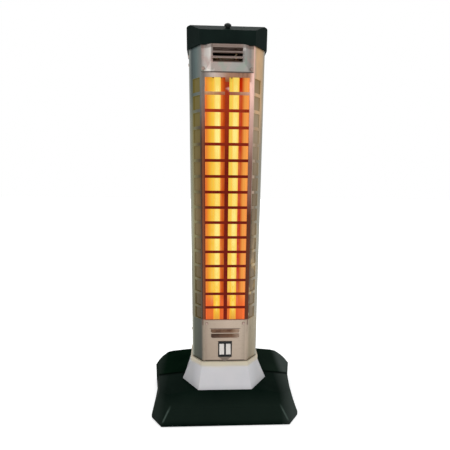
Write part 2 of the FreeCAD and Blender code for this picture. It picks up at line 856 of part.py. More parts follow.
def build_feet():
    feet = []
    spots = []
    for sign, foot_y in ((-1, foot_front_y), (1, foot_rear_y)):
        for side in (1, -1):
            outer = doc.addObject("Part::Cylinder", "foot_pad")
            outer.setExpression("Radius", d.foot_radius.formula)
            outer.setExpression("Height", d.foot_height.formula)
            well = doc.addObject("Part::Cylinder", "foot_well")
            well.setExpression("Radius", (d.screw_head_diameter / 2 + d.knob_fit).formula)
            well.setExpression("Height", (d.foot_height / 2).formula)
            hole = doc.addObject("Part::Cylinder", "foot_hole")
            hole.setExpression("Radius", hole_radius.formula)
            hole.setExpression("Height", d.foot_height.formula)
            bored = doc.addObject("Part::Cut", "foot_bored")
            bored.Base = outer
            bored.Tool = hole
            foot = doc.addObject("Part::Cut", "foot")
            foot.Base = bored
            foot.Tool = well
            place(foot, foot_x * side, foot_y * sign, ZERO)
            feet.append(foot)
            spots.append((foot_x * side, foot_y * sign, d.foot_height / 2, FACE_DOWN))
    group = doc.addObject("Part::Compound", "rubber_feet")
    group.Label = "rubber_feet"
    group.Links = feet
    parts.append(group)
    parts.append(screw_group("foot_screws", spots, d.screw_length))


def build_foot_plate():
    body = new_body("foot_plate")
    sheet = new_sketch(body, "XY_Plane", "sheet", d.base_height)
    add_outline(sheet, octagon(ZERO))
    pad(body, sheet, d.foot_plate_sheet)
    lugs = new_sketch(body, "XY_Plane", "lugs", d.base_height)
    depth = d.foot_lug_half_depth
    for side in (1, -1):
        outer = inner_x * side
        inner = (inner_x - d.foot_plate_sheet) * side
        add_rectangle(lugs, outer, inner, -depth, bracket_rear)
    pad(body, lugs, d.foot_plate_sheet + d.foot_lug_height)
    holes = new_sketch(body, "XY_Plane", "holes", d.base_height + d.foot_plate_sheet)
    for side in (1, -1):
        for sign in (1, -1):
            add_circle(holes, d.foot_screw_x * side, d.foot_screw_y * sign, hole_radius)
    add_circle(holes, 0, d.lead_hole_y, d.lead_hole_radius)
    pocket(body, holes, d.foot_plate_sheet)
    lug_holes = new_sketch(body, "YZ_Plane", "lug_holes")
    add_circle(lug_holes, 0, column_bottom + d.foot_lug_height / 2, hole_radius)
    pocket(body, lug_holes)
    parts.append(body)
    spots = [
        (d.foot_screw_x * side, d.foot_screw_y * sign, column_bottom, FACE_UP)
        for side in (1, -1)
        for sign in (1, -1)
    ]
    parts.append(screw_group("foot_plate_screws", spots, d.base_screw_length))
    lug_z = column_bottom + d.foot_lug_height / 2
    spots = [(half_width, ZERO, lug_z, FACE_RIGHT), (-half_width, ZERO, lug_z, FACE_LEFT)]
    parts.append(screw_group("column_foot_screws", spots, d.screw_length))


# Collar


def ring(front_x, front_y, side_x, side_y, hip_x, hip_y, rear_side_x, rear_side_y, rear_x, rear_y):
    right = [
        (front_x, -front_y),
        (side_x, -side_y),
        (hip_x, hip_y),
        (rear_side_x, rear_side_y),
        (rear_x, rear_y),
    ]
    return right + [(-x, y) for x, y in right[::-1]]


def column_ring(offset):
    """The column's octagon moved out by offset, with the collar's two extra side points."""
    wide, deep, narrow, shallow = octagon_corner(offset)
    return ring(
        narrow, deep, wide, shallow, wide, d.collar_hip_y, wide, shallow, narrow, deep
    )


def build_collar():
    body = new_body("collar")
    wide, _, _, shallow = octagon_corner(d.collar_rim_offset)
    skirt = new_sketch(body, "XY_Plane", "skirt", d.base_height)
    add_outline(
        skirt,
        ring(
            collar_front_x,
            collar_front_y,
            collar_side_x,
            collar_side_y,
            collar_hip_x,
            d.collar_hip_y,
            wide,
            shallow,
            collar_rear_x,
            collar_rear_y,
        ),
    )
    neck = new_sketch(body, "XY_Plane", "neck", collar_rim_bottom)
    add_outline(neck, column_ring(d.collar_rim_offset))
    loft(body, "AdditiveLoft", skirt, neck)
    rim = new_sketch(body, "XY_Plane", "rim", collar_rim_bottom)
    add_outline(rim, octagon(d.collar_rim_offset))
    pad(body, rim, collar_rim_top - collar_rim_bottom)
    wide, deep, narrow, shallow = octagon_corner(d.collar_gap)
    mouth = new_sketch(body, "XY_Plane", "mouth", d.base_height - d.cut_overrun)
    thick = d.collar_wall
    add_outline(
        mouth,
        ring(
            collar_front_x - thick / 2,
            collar_front_y - thick,
            collar_side_x - thick,
            collar_side_y - thick / 2,
            collar_hip_x - thick,
            d.collar_hip_y,
            wide,
            shallow,
            narrow,
            deep,
        ),
    )
    throat = new_sketch(body, "XY_Plane", "throat", collar_rim_bottom - thick)
    add_outline(throat, column_ring(d.collar_gap))
    loft(body, "SubtractiveLoft", mouth, throat)
    bore = new_sketch(body, "XY_Plane", "bore", collar_rim_top)
    add_outline(bore, octagon(d.collar_gap))
    pocket(body, bore, collar_rim_top - d.base_height)
    parts.append(body)


# Column sheets


def build_grille_shell():
    body = new_body("grille_shell")
    fold = new_sketch(body, "XY_Plane", "fold", column_bottom)
    add_outline(fold, folded_sheet(ZERO, side_half_depth, front=True))
    pad(body, fold, d.column_top - column_bottom)

    low = window_bottom + d.bar_height / 2
    high = low + cell_height
    row = new_sketch(body, "XZ_Plane", "row")
    for side in (1, -1):
        add_rectangle(row, d.centre_strip / 2 * side, d.window_half_width * side, low, high)
    cuts = [pocket(body, row)]
    across = front_half_width * d.chamfer_width - half_depth * d.chamfer_depth
    fold_place = across / chamfer_slant
    near = fold_place + d.corner_cell_margin
    far = near + d.corner_cell_width
    for side, name in ((1, "right"), (-1, "left")):
        axis = FreeCAD.Vector(0, side, 0)
        corner = new_sketch(body, "XZ_Plane", f"{name}_row", axis=axis, angle=chamfer_angle)
        add_rectangle(corner, near * side, far * side, low, high)
        cuts.append(pocket(body, corner))
    row_pattern(body, cuts, "Z_Axis", row_pitch, ROWS, "rows")

    openings = new_sketch(body, "XZ_Plane", "openings")
    margin = d.opening_margin
    vent_half = d.vent_panel_half_width - d.vent_flange
    vent_low = vent_panel_bottom + margin
    add_rectangle(openings, -vent_half, vent_half, vent_low, cap_bottom - d.vent_flange_low)
    control_half = d.control_panel_half_width - margin * 2
    control_high = control_panel_top - margin * 2
    add_rectangle(
        openings, -control_half, control_half, control_panel_bottom + margin, control_high
    )
    for side in (1, -1):
        for x, z in panel_screw_places(side):
            add_circle(openings, x, z, hole_radius)
    pocket(body, openings)
    add_side_holes(body)
    parts.append(body)


def panel_screw_places(side):
    """The screws of the vent panel and of the control panel on one side of the window."""
    control = d.control_panel_half_width - d.panel_screw_inset
    vent = d.vent_panel_half_width - d.vent_flange / 2
    return [
        (control * side, control_panel_top - d.panel_screw_drop),
        (vent * side, vent_panel_bottom + d.vent_screw_rise),
    ]


def side_screw_heights():
    """Heights of the screws through the column's sides: brackets first, then the top plate."""
    flange = d.bracket_flange / 2
    return [
        lower_bracket_top - flange,
        upper_bracket_bottom + flange,
        cap_bottom - d.screw_head_diameter,
    ]


def cover_screw_heights():
    return [
        lower_bracket_top,
        mix(lower_bracket_top, upper_bracket_bottom, as_size(1) / 2),
        upper_bracket_bottom,
    ]


def add_side_holes(body):
    cover_y = side_half_depth - d.cover_lap / 2
    holes = new_sketch(body, "YZ_Plane", "side_holes")
    for z in side_screw_heights():
        add_circle(holes, -d.bracket_hole_y, z, hole_radius)
    for z in cover_screw_heights():
        add_circle(holes, cover_y, z, hole_radius)
    add_circle(holes, 0, column_bottom + d.foot_lug_height / 2, hole_radius)
    pocket(body, holes)


def build_side_screws():
    cover_y = side_half_depth - d.cover_lap / 2
    brackets = []
    cover = []
    for x, rotation in ((half_width, FACE_RIGHT), (-half_width, FACE_LEFT)):
        brackets += [(x, -d.bracket_hole_y, z, rotation) for z in side_screw_heights()]
        cover += [(x, cover_y, z, rotation) for z in cover_screw_heights()]
    parts.append(screw_group("bracket_screws", brackets, d.screw_length))
    parts.append(screw_group("rear_cover_screws", cover, d.screw_length))


def build_rear_cover():
    body = new_body("rear_cover")
    offset = -d.sheet - d.sheet_gap
    fold = new_sketch(body, "XY_Plane", "fold", column_bottom)
    add_outline(fold, folded_sheet(offset, cover_edge, front=False))
    pad(body, fold, d.column_top - column_bottom)
    holes = new_sketch(body, "YZ_Plane", "side_holes")
    for z in cover_screw_heights():
        add_circle(holes, side_half_depth - d.cover_lap / 2, z, hole_radius)
    pocket(body, holes)
    face = half_depth + offset
    for name, top in (("upper", rear_upper_hood_top), ("lower", rear_lower_hood_top)):
        add_louvres(
            body,
            name,
            face,
            1,
            top,
            d.lower_hood_height,
            d.lower_hood_reach,
            d.lower_slot_height,
            d.rear_hood_width,
            d.rear_hood_pitch,
            REAR_HOODS,
        )
    parts.append(body)


def vent_frame(body, name, y, half, low):
    """An outline of the raised vent panel at one depth, from low up to the cap."""
    frame = new_sketch(body, "XZ_Plane", name, -y)
    add_rectangle(frame, -half, half, low, cap_bottom - d.sheet_gap)
    return frame


def build_vent_panel():
    """A raised pan with sloping sides and foot, which carries the louvres under the cap."""
    body = new_body("upper_vent_panel")
    flange = new_sketch(body, "XZ_Plane", "flange", -face_y)
    outer_half = d.vent_panel_half_width
    outer_low = vent_panel_bottom
    top = cap_bottom - d.sheet_gap
    add_rectangle(flange, -outer_half, outer_half, outer_low, top)
    pad(body, flange, d.sheet)
    foot_half = outer_half - d.vent_flange
    foot_low = outer_low + d.vent_flange_low
    raised = panel_y - d.vent_face_rise
    rim = (foot_half, foot_low)
    face = (d.vent_face_half_width, vent_face_bottom)
    foot = vent_frame(body, "pan_foot", panel_y + d.sheet / 2, *rim)
    loft(body, "AdditiveLoft", foot, vent_frame(body, "pan_face", raised, *face))
    inner_rim = (foot_half - d.sheet, foot_low + d.sheet)
    inner_face = (d.vent_face_half_width - d.sheet, vent_face_bottom + d.sheet)
    mouth = vent_frame(body, "pan_mouth", face_y + d.cut_overrun, *inner_rim)
    loft(body, "SubtractiveLoft", mouth, vent_frame(body, "pan_floor", raised + d.sheet, *inner_face))
    add_louvres(
        body,
        "vent",
        raised,
        -1,
        upper_hood_top,
        d.upper_hood_height,
        d.upper_hood_reach,
        d.upper_slot_height,
        d.upper_hood_width,
        d.upper_hood_pitch,
        UPPER_HOODS,
    )
    holes = new_sketch(body, "XZ_Plane", "holes")
    for side in (1, -1):
        add_circle(holes, *panel_screw_places(side)[1], hole_radius)
    pocket(body, holes)
    parts.append(body)


def build_control_panel():
    body = new_body("control_panel")
    sheet = new_sketch(body, "XZ_Plane", "sheet", -face_y)
    half = d.control_panel_half_width
    add_rectangle(sheet, -half, half, control_panel_bottom, control_panel_top)
    pad(body, sheet, d.sheet)
    # A pointed tab, pressed proud of the sheet, stands on the collar under the switch.
    tab = new_sketch(body, "XZ_Plane", "tab", -face_y)
    bezel_low = switch_centre - d.bezel_height / 2
    add_outline(
        tab,
        [
            (-d.tab_half_width, bezel_low),
            (0, collar_rim_top),
            (d.tab_half_width, bezel_low),
        ],
    )
    pad(body, tab, d.sheet + d.tab_rise)
    add_louvres(
        body,
        "air",
        panel_y,
        -1,
        lower_hood_top,
        d.lower_hood_height,
        d.lower_hood_reach,
        d.lower_slot_height,
        d.lower_hood_width,
        d.lower_hood_pitch,
        LOWER_HOODS,
    )
    holes = new_sketch(body, "XZ_Plane", "holes")
    wide = d.switch_body_width / 2 + d.switch_fit
    tall = d.switch_body_height / 2 + d.switch_fit
    add_rectangle(holes, -wide, wide, switch_centre - tall, switch_centre + tall)
    for side in (1, -1):
        add_circle(holes, *panel_screw_places(side)[0], hole_radius)
    pocket(body, holes)
    parts.append(body)
    spots = [
        (x, panel_y, z, FACE_FRONT) for side in (1, -1) for x, z in panel_screw_places(side)
    ]
    parts.append(screw_group("panel_screws", spots, d.panel_screw_length))


# Twin rocker switch

switch_front = panel_y - d.bezel_thickness
pivot_y = switch_front + d.rocker_pivot_depth
well_half = (d.rocker_width + d.rocker_side_gap * 2) / 2
rocker_x = d.rocker_divider / 2 + well_half


def build_switch_housing():
    body = new_body("switch_housing")
    bezel = new_sketch(body, "XZ_Plane", "bezel", -panel_y)
    wide = d.bezel_width / 2
    tall = d.bezel_height / 2
    centre = switch_centre
    add_rectangle(bezel, -wide, wide, centre - tall, centre + tall)
    pad(body, bezel, d.bezel_thickness)
    front = switch_front.value

    def on_front(edge):
        box = edge.BoundBox
        return abs(box.YMin - front) < TOUCH and abs(box.YMax - front) < TOUCH

    round_edges(body, d.bezel_edge, on_front, "Chamfer")
    case = new_sketch(body, "XZ_Plane", "case", -panel_y)
    wide = d.switch_body_width / 2
    tall = d.switch_body_height / 2
    add_rectangle(case, -wide, wide, centre - tall, centre + tall)
    pad(body, case, d.switch_body_depth, back=True)
    wells = new_sketch(body, "XZ_Plane", "wells", -switch_front)
    tall = d.rocker_radius + d.rocker_end_gap
    for side in (1, -1):
        inner = (rocker_x - well_half) * side
        outer = (rocker_x + well_half) * side
        add_rectangle(wells, inner, outer, centre - tall, centre + tall)
    pocket(body, wells, d.well_depth)
    bearings = new_sketch(body, "YZ_Plane", "bearings")
    add_circle(bearings, pivot_y, centre, d.stub_radius + d.stub_clearance)
    reach = (rocker_x + d.rocker_width / 2 + d.stub_length + d.stub_clearance) * 2
    cut = body.newObject("PartDesign::Pocket", "bearings_cut")
    cut.Profile = bearings
    cut.SideType = "Symmetric"
    cut.setExpression("Length", reach.formula)
    parts.append(body)


def build_rocker(label, side):
    """A rocker about its own pivot, placed with the upper end pressed in."""
    body = new_body(label)
    profile = new_sketch(body, "YZ_Plane", "profile", -d.rocker_width / 2)
    radius = d.rocker_radius
    wing_z = math.sqrt(radius.value**2 - d.rocker_wing.value**2)
    wing = Size(wing_z, f"sqrt({radius.formula}^2 - {d.rocker_wing.formula}^2)")
    heel_z = math.sqrt(radius.value**2 - d.stub_radius.value**2)
    heel = Size(heel_z, f"sqrt({radius.formula}^2 - {d.stub_radius.formula}^2)")
    add_outline(
        profile,
        [
            (-d.rocker_waist, ZERO),
            (-d.rocker_wing, -wing, radius, 1),
            (d.stub_radius, -heel),
            (d.rocker_back, -d.rocker_back_half_height),
            (d.rocker_back, d.rocker_back_half_height),
            (d.stub_radius, heel, radius, 1),
            (-d.rocker_wing, wing),
        ],
    )
    pad(body, profile, d.rocker_width)
    stubs = new_sketch(body, "YZ_Plane", "stubs")
    add_circle(stubs, 0, 0, d.stub_radius)
    pad(body, stubs, d.rocker_width + d.stub_length * 2, middle=True)
    pressed = FreeCAD.Vector(-1, 0, 0)
    place(body, rocker_x * side, pivot_y, switch_centre, pressed, d.rocker_tilt)
    parts.append(body)


def build_switch_terminals():
    blades = []
    rear = panel_y + d.switch_body_depth
    for side in (1, -1):
        for level in (1, -1):
            blade = doc.addObject("Part::Box", "blade")
            blade.setExpression("Length", d.blade_width.formula)
            blade.setExpression("Width", d.blade_length.formula)
            blade.setExpression("Height", d.blade_thickness.formula)
            z = switch_centre + d.blade_spread / 2 * level - d.blade_thickness / 2
            place(blade, rocker_x * side - d.blade_width / 2, rear, z)
            blades.append(blade)
    group = doc.addObject("Part::Compound", "switch_terminals")
    group.Label = "switch_terminals"
    group.Links = blades
    parts.append(group)


# Tubes, their ends and what carries them


def build_tubes():
    socket = d.ceramic_length - d.ceramic_socket
    low = lower_bracket_top + socket + d.tube_fit
    high = upper_bracket_bottom - socket - d.tube_fit
    for label, side in (("left", -1), ("right", 1)):
        tube = new_body(f"quartz_tube_{label}")
        ring_sketch = new_sketch(tube, "XY_Plane", "ring")
        add_circle(ring_sketch, 0, 0, d.tube_diameter / 2)
        add_circle(ring_sketch, 0, 0, d.tube_diameter / 2 - d.tube_wall)
        pad(tube, ring_sketch, high - low)
        place(tube, tube_x * side, tube_y, low)
        parts.append(tube)

        coil = new_body(f"heating_coil_{label}")
        winding = new_sketch(coil, "XZ_Plane", "winding")
        tail = d.tail_diameter / 2
        body_low = lower_bracket_top + d.ceramic_length + d.coil_end_gap
        body_high = upper_bracket_bottom - d.ceramic_length - d.coil_end_gap
        add_outline(
            winding,
            [
                (0, tail_bottom),
                (tail, tail_bottom),
                (tail, body_low),
                (d.coil_diameter / 2, body_low),
                (d.coil_diameter / 2, body_high),
                (tail, body_high),
                (tail, tail_top),
                (0, tail_top),
            ],
        )
        revolve(coil, winding)
        place(coil, tube_x * side, tube_y, ZERO)
        parts.append(coil)

        for level, sign, seat in (
            ("lower", 1, lower_bracket_top),
            ("upper", -1, upper_bracket_bottom),
        ):
            parts.append(build_ceramic(f"{level}_cap_{label}", side, sign, seat))


def build_ceramic(label, side, sign, seat):
    """A ceramic end: a neck through the bracket, a shoulder on it and a socket for the tube."""
    body = new_body(label)
    section = new_sketch(body, "XZ_Plane", "section")
    bore = d.ceramic_hole / 2
    socket = d.tube_diameter / 2 + d.tube_fit
    outer = d.ceramic_diameter / 2
    floor = d.ceramic_length - d.ceramic_socket
    add_outline(
        section,
        [
            (bore, -d.ceramic_neck_length),
            (d.ceramic_neck_diameter / 2, -d.ceramic_neck_length),
            (d.ceramic_neck_diameter / 2, ZERO),
            (outer, ZERO),
            (outer, d.ceramic_length - d.ceramic_edge),
            (outer - d.ceramic_edge, d.ceramic_length),
            (socket, d.ceramic_length),
            (socket, floor),
            (bore, floor),
        ],
    )
    revolve(body, section)
    place(body, tube_x * side, tube_y, seat, FACE_UP if sign > 0 else FACE_DOWN)
    return body


def build_tube_terminals():
    lower = lower_bracket_top - d.ceramic_neck_length - d.nut_height
    upper = upper_bracket_bottom + d.ceramic_neck_length
    bridge = new_body("terminal_bridge")
    strip = new_sketch(bridge, "XY_Plane", "strip", upper)
    reach = tube_x + d.bridge_width / 2
    half = d.bridge_width / 2
    add_rectangle(strip, -reach, reach, tube_y - half, tube_y + half)
    for side in (1, -1):
        add_circle(strip, tube_x * side, tube_y, d.ceramic_hole / 2)
    pad(bridge, strip, d.bridge_thickness)
    parts.append(bridge)
    for label, z in (("lower_terminals", lower), ("upper_terminals", upper + d.bridge_thickness)):
        nuts = []
        for side in (1, -1):
            blank = doc.addObject("Part::Prism", f"{label}_blank")
            blank.Polygon = 6
            across = d.nut_flats / math.sqrt(3)
            blank.setExpression("Circumradius", across.formula)
            blank.setExpression("Height", d.nut_height.formula)
            hole = doc.addObject("Part::Cylinder", f"{label}_hole")
            hole.setExpression("Radius", (d.nut_hole / 2).formula)
            hole.setExpression("Height", d.nut_height.formula)
            nut = doc.addObject("Part::Cut", f"{label}_nut")
            nut.Base = blank
            nut.Tool = hole
            place(nut, tube_x * side, tube_y, z)
            nuts.append(nut)
        group = doc.addObject("Part::Compound", label)
        group.Label = label
        group.Links = nuts
        parts.append(group)


def build_tube_bracket(label, seat, sign):
    """A sheet across the column with a hole for each ceramic neck and a flange at each side."""
    body = new_body(label)
    low = seat - d.bracket_sheet if sign < 0 else seat
    sheet = new_sketch(body, "XY_Plane", "sheet", low)
    wide, _, _, shallow = octagon_corner(-d.sheet - d.sheet_gap)
    front_x = wide - (d.bracket_front - shallow) * d.chamfer_width / d.chamfer_depth
    right = [(front_x, -d.bracket_front), (wide, -shallow), (wide, bracket_rear)]
    add_outline(sheet, right + [(-x, y) for x, y in right[::-1]])
    for side in (1, -1):
        add_circle(sheet, tube_x * side, tube_y, d.ceramic_neck_diameter / 2 + d.knob_fit)
    pad(body, sheet, d.bracket_sheet)
    add_flanges(body, seat, sign, -shallow, bracket_rear, d.bracket_flange / 2)
    parts.append(body)


def add_flanges(body, seat, sign, near, far, drop):
    """Side flanges of a bracket, with a hole, drop from its seat, for the column's side screw."""
    flanges = new_sketch(body, "XY_Plane", "flanges", seat)
    for side in (1, -1):
        inner = (inner_x - d.bracket_sheet) * side
        add_rectangle(flanges, inner, inner_x * side, near, far)
    pad(body, flanges, drop + d.bracket_flange / 2, back=sign < 0)
    holes = new_sketch(body, "YZ_Plane", "flange_holes")
    add_circle(holes, -d.bracket_hole_y, seat + drop * sign, hole_radius)
    pocket(body, holes)


def build_top_bracket():
    body = new_body("top_bracket")
    sheet = new_sketch(body, "XY_Plane", "sheet", top_plate_bottom)
    _, _, _, shallow = octagon_corner(-d.sheet - d.sheet_gap)
    add_rectangle(sheet, -inner_x, inner_x, -shallow, bracket_rear)
    for side in (1, -1):
        add_circle(sheet, d.cap_boss_x * side, -d.bracket_hole_y, hole_radius)
    pad(body, sheet, d.bracket_sheet)
    drop = top_plate_bottom - cap_bottom + d.screw_head_diameter
    add_flanges(body, top_plate_bottom, -1, -shallow, bracket_rear, drop)
    parts.append(body)


def build_reflector():
    """A trough behind each tube, with a wing at each side behind the chamfer's cells."""
    body = new_body("reflector")
    trough = new_sketch(body, "XY_Plane", "trough", lower_bracket_top)
    lip_y = face_y + d.sheet + d.reflector_lip_gap
    wing_x, _, _, wing_y = octagon_corner(-d.sheet - d.reflector_wing_gap)
    thick = d.reflector_sheet
    front = [
        (wing_x, -wing_y),
        (d.reflector_lip_x, lip_y),
        (d.reflector_flank_x, -d.reflector_flank_y),
        (d.reflector_back_x, -d.reflector_back_y),
        (d.reflector_groove_x, -d.reflector_back_y),
        (ZERO, -d.reflector_ridge_y),
    ]
    back = [
        (wing_x - thick, -wing_y + thick / 2),
        (d.reflector_lip_x + thick / 2, lip_y + thick * 2),
        (d.reflector_flank_x + thick, -d.reflector_flank_y),
        (d.reflector_back_x + thick / 2, -d.reflector_back_y + thick),
        (d.reflector_groove_x - thick / 2, -d.reflector_back_y + thick),
        (ZERO, -d.reflector_ridge_y + thick * 2),
    ]
    left_front = [(-x, y) for x, y in front[-2::-1]]
    left_back = [(-x, y) for x, y in back[:-1]]
    add_outline(trough, front + left_front + left_back + back[::-1])
    pad(body, trough, upper_bracket_bottom - lower_bracket_top)
    parts.append(body)


# Cap and knob

cap_fall = d.cap_height - d.cap_front_height
cap_slope = slope_angle(cap_fall, d.cap_setback)
knob_y = -(half_depth + d.cap_overhang - d.cap_setback / 2)
knob_z = cap_bottom + d.cap_front_height + cap_fall / 2


def build_cap():
    body = new_body("top_cap")
    outline = new_sketch(body, "XY_Plane", "outline", cap_bottom)
    add_outline(outline, octagon(d.cap_overhang))
    pad(body, outline, d.cap_height)
    crest = cap_bottom + d.cap_height
    front_y = half_depth + d.cap_overhang
    slopes = new_sketch(body, "YZ_Plane", "slopes")
    for side in (1, -1):
        add_outline(
            slopes,
            [
                ((front_y - d.cap_setback) * side, crest),
                (front_y * side, cap_bottom + d.cap_front_height),
                ((front_y + d.cut_overrun) * side, cap_bottom + d.cap_front_height),
                ((front_y + d.cut_overrun) * side, crest + d.cut_overrun),
                ((front_y - d.cap_setback) * side, crest + d.cut_overrun),
            ],
        )
    pocket(body, slopes)
    end_x = half_width + d.cap_overhang

    def end_edge(edge):
        box = edge.BoundBox
        high = box.ZMin > (cap_bottom + d.cap_front_height).value - TOUCH
        return high and min(abs(box.XMin), abs(box.XMax)) > end_x.value - TOUCH

    round_edges(body, d.cap_end_round, end_edge)
    inner = d.cap_overhang - d.cap_wall
    skirt = new_sketch(body, "XY_Plane", "skirt_hollow", cap_bottom)
    add_outline(skirt, octagon(inner))
    pocket(body, skirt, d.cap_front_height - d.cap_roof, back=True)
    crown = new_sketch(body, "XY_Plane", "crown_hollow", cap_bottom)
    half = front_y - d.cap_setback - d.cap_roof
    wide = end_x - d.cap_end_round - d.cap_wall
    add_rectangle(crown, -wide, wide, -half, half)
    pocket(body, crown, d.cap_height - d.cap_roof, back=True)
    boss_bottom = top_plate_bottom + d.bracket_sheet
    bosses = new_sketch(body, "XY_Plane", "bosses", boss_bottom)
    pilots = new_sketch(body, "XY_Plane", "pilots", boss_bottom)
    for side in (1, -1):
        add_circle(bosses, d.cap_boss_x * side, -d.bracket_hole_y, d.cap_boss_diameter / 2)
        add_circle(pilots, d.cap_boss_x * side, -d.bracket_hole_y, screw_radius + d.knob_fit)
    pad(body, bosses, crest - boss_bottom - d.cap_roof / 2)
    pocket(body, pilots, d.screw_length, back=True)
    stem_hole = new_sketch(body, "XY_Plane", "stem_hole", axis=X_AXIS, angle=cap_slope)
    stem_hole.setExpression("AttachmentOffset.Base.y", knob_y.formula)
    stem_hole.setExpression("AttachmentOffset.Base.z", knob_z.formula)
    add_circle(stem_hole, 0, 0, d.knob_stem_diameter / 2 + d.knob_fit)
    pocket(body, stem_hole, d.knob_stem_length + d.knob_fit)
    parts.append(body)
    spots = [
        (d.cap_boss_x * side, -d.bracket_hole_y, top_plate_bottom, FACE_DOWN) for side in (1, -1)
    ]
    parts.append(screw_group("cap_screws", spots, d.screw_length))


def build_knob():
    body = new_body("cap_knob")
    section = new_sketch(body, "XZ_Plane", "section")
    radius = d.knob_diameter / 2
    stem = d.knob_stem_diameter / 2
    neck = d.knob_neck_diameter / 2
    shoulder = d.knob_neck_height + d.knob_edge
    rise = d.knob_height - shoulder
    dome = (radius * radius + rise * rise) / (rise * 2)
    add_outline(
        section,
        [
            (0, -d.knob_stem_length),
            (stem, -d.knob_stem_length),
            (stem, ZERO),
            (neck, ZERO),
            (neck, d.knob_neck_height),
            (radius, d.knob_neck_height),
            (radius, shoulder, dome, 1),
            (ZERO, d.knob_height),
        ],
    )
    revolve(body, section)
    place(body, ZERO, knob_y, knob_z, X_AXIS, cap_slope)
    parts.append(body)


# Mains parts and leads


def block_way(way):
    """The middle of one of the terminal block's ways, counted from its left end."""
    return d.block_x + d.block_pitch * (way - (BLOCK_WAYS - 1) / 2)


def build_terminal_block():
    body = new_body("terminal_block")
    floor = column_bottom
    block = new_sketch(body, "XY_Plane", "block", floor)
    left = d.block_x - d.block_length / 2
    right = d.block_x + d.block_length / 2
    near = d.block_y - d.block_width / 2
    far = d.block_y + d.block_width / 2
    add_rectangle(block, left, right, near, far)
    pad(body, block, d.block_height)
    wells = new_sketch(body, "XY_Plane", "wells", floor + d.block_height)
    for way in range(BLOCK_WAYS):
        add_circle(wells, block_way(way), d.block_y, d.block_pocket_radius)
    pocket(body, wells, d.block_pocket_depth)
    parts.append(body)


def build_gland():
    body = new_body("cord_gland")
    section = new_sketch(body, "XZ_Plane", "section")
    add_outline(
        section,
        [
            (d.gland_bore, -d.gland_reach),
            (d.gland_radius, -d.gland_reach),
            (d.gland_radius, ZERO),
            (d.gland_flange, ZERO),
            (d.gland_flange - d.gland_flange_thickness / 2, d.gland_flange_thickness),
            (d.gland_bore, d.gland_flange_thickness),
        ],
    )
    revolve(body, section)
    place(body, ZERO, rear_y, gland_height, FACE_REAR)
    parts.append(body)


def build_lead(label, stations):
    """A sleeved lead with LEAD_SIDES flats: straight runs joined by arcs of the lead's own bend."""
    points = [FreeCAD.Vector(*(as_size(v).value for v in station)) for station in stations]
    bend = d.lead_bend.value
    edges = []
    start = points[0]
    for before, corner, after in zip(points, points[1:], points[2:]):
        inward = (before - corner).normalize()
        outward = (after - corner).normalize()
        angle = math.pi - inward.getAngle(outward)
        back = bend * math.tan(angle / 2)
        arc_start = corner + inward * back
        arc_end = corner + outward * back
        middle_line = (inward + outward).normalize()
        centre_distance = bend / math.cos(angle / 2)
        arc_middle = corner + middle_line * (centre_distance - bend)
        edges.append(Part.LineSegment(start, arc_start).toShape())
        edges.append(Part.Arc(arc_start, arc_middle, arc_end).toShape())
        start = arc_end
    edges.append(Part.LineSegment(start, points[-1]).toShape())
    path = Part.Wire(edges)
    direction = points[1] - points[0]
    across = direction.cross(points[2] - points[1]).normalize() * (d.lead_diameter.value / 2)
    step = 360 / LEAD_SIDES
    turns = [FreeCAD.Rotation(direction, step * side) for side in range(LEAD_SIDES)]
    corners = [points[0] + turn.multVec(across) for turn in turns]
    section = Part.makePolygon(corners + corners[:1])
    lead = doc.addObject("Part::Feature", label)
    lead.Label = label
    lead.Shape = path.makePipeShell([section], True, False)
    lead.Placement = FreeCAD.Placement()
    area = Part.Face(section).Area
    print(f"{label}: {path.Length:.1f} long, volume share {lead.Shape.Volume / area / path.Length:.4f}")
    parts.append(lead)


def build_leads():
    blade_end = panel_y + d.switch_body_depth + d.blade_length
    turn_y = blade_end + d.lead_back_gap
    upper_z = switch_centre + d.blade_spread / 2
    lower_z = switch_centre - d.blade_spread / 2
    for label, side in (("left", -1), ("right", 1)):
        build_lead(
            f"{label}_tube_lead",
            [
                (tube_x * side, tube_y, tail_bottom),
                (tube_x * side, tube_y, upper_z),
                (tube_x * side, turn_y, upper_z),
                (rocker_x * side, turn_y, upper_z),
                (rocker_x * side, blade_end, upper_z),
            ],
        )
    block_top = column_bottom + d.block_height - d.block_pocket_depth
    for label, side, way, level in (("left", -1, 1, 2), ("right", 1, 2, 1)):
        cross = block_top + d.lead_back_gap * level
        build_lead(
            f"{label}_supply_lead",
            [
                (rocker_x * side, blade_end, lower_z),
                (rocker_x * side, d.block_y, lower_z),
                (rocker_x * side, d.block_y, cross),
                (block_way(way), d.block_y, cross),
                (block_way(way), d.block_y, block_top),
            ],
        )
    back_y = bracket_rear + d.lead_stand
    cross_z = top_plate_bottom - d.lead_stand * 2
    build_lead(
        "return_lead",
        [
            (tube_x, tube_y, tail_top),
            (tube_x, tube_y, cross_z),
            (tube_x, back_y, cross_z),
            (block_way(0), back_y, cross_z),
            (block_way(0), back_y, block_top + d.lead_back_gap),
            (block_way(0), d.block_y, block_top + d.lead_back_gap),
            (block_way(0), d.block_y, block_top),
        ],
    )


build_base_front()
build_base_rear()
build_feet()
build_foot_plate()
build_collar()
build_grille_shell()
build_rear_cover()
build_side_screws()
build_vent_panel()
build_control_panel()
build_switch_housing()
build_rocker("rocker_left", -1)
build_rocker("rocker_right", 1)
build_switch_terminals()
build_tube_bracket("lower_tube_bracket", lower_bracket_top, -1)
build_tube_bracket("upper_tube_bracket", upper_bracket_bottom, 1)
build_tubes()
build_tube_terminals()
build_reflector()
build_top_bracket()
build_cap()
build_knob()
build_terminal_block()
build_gland()
build_leads()
doc.recompute()

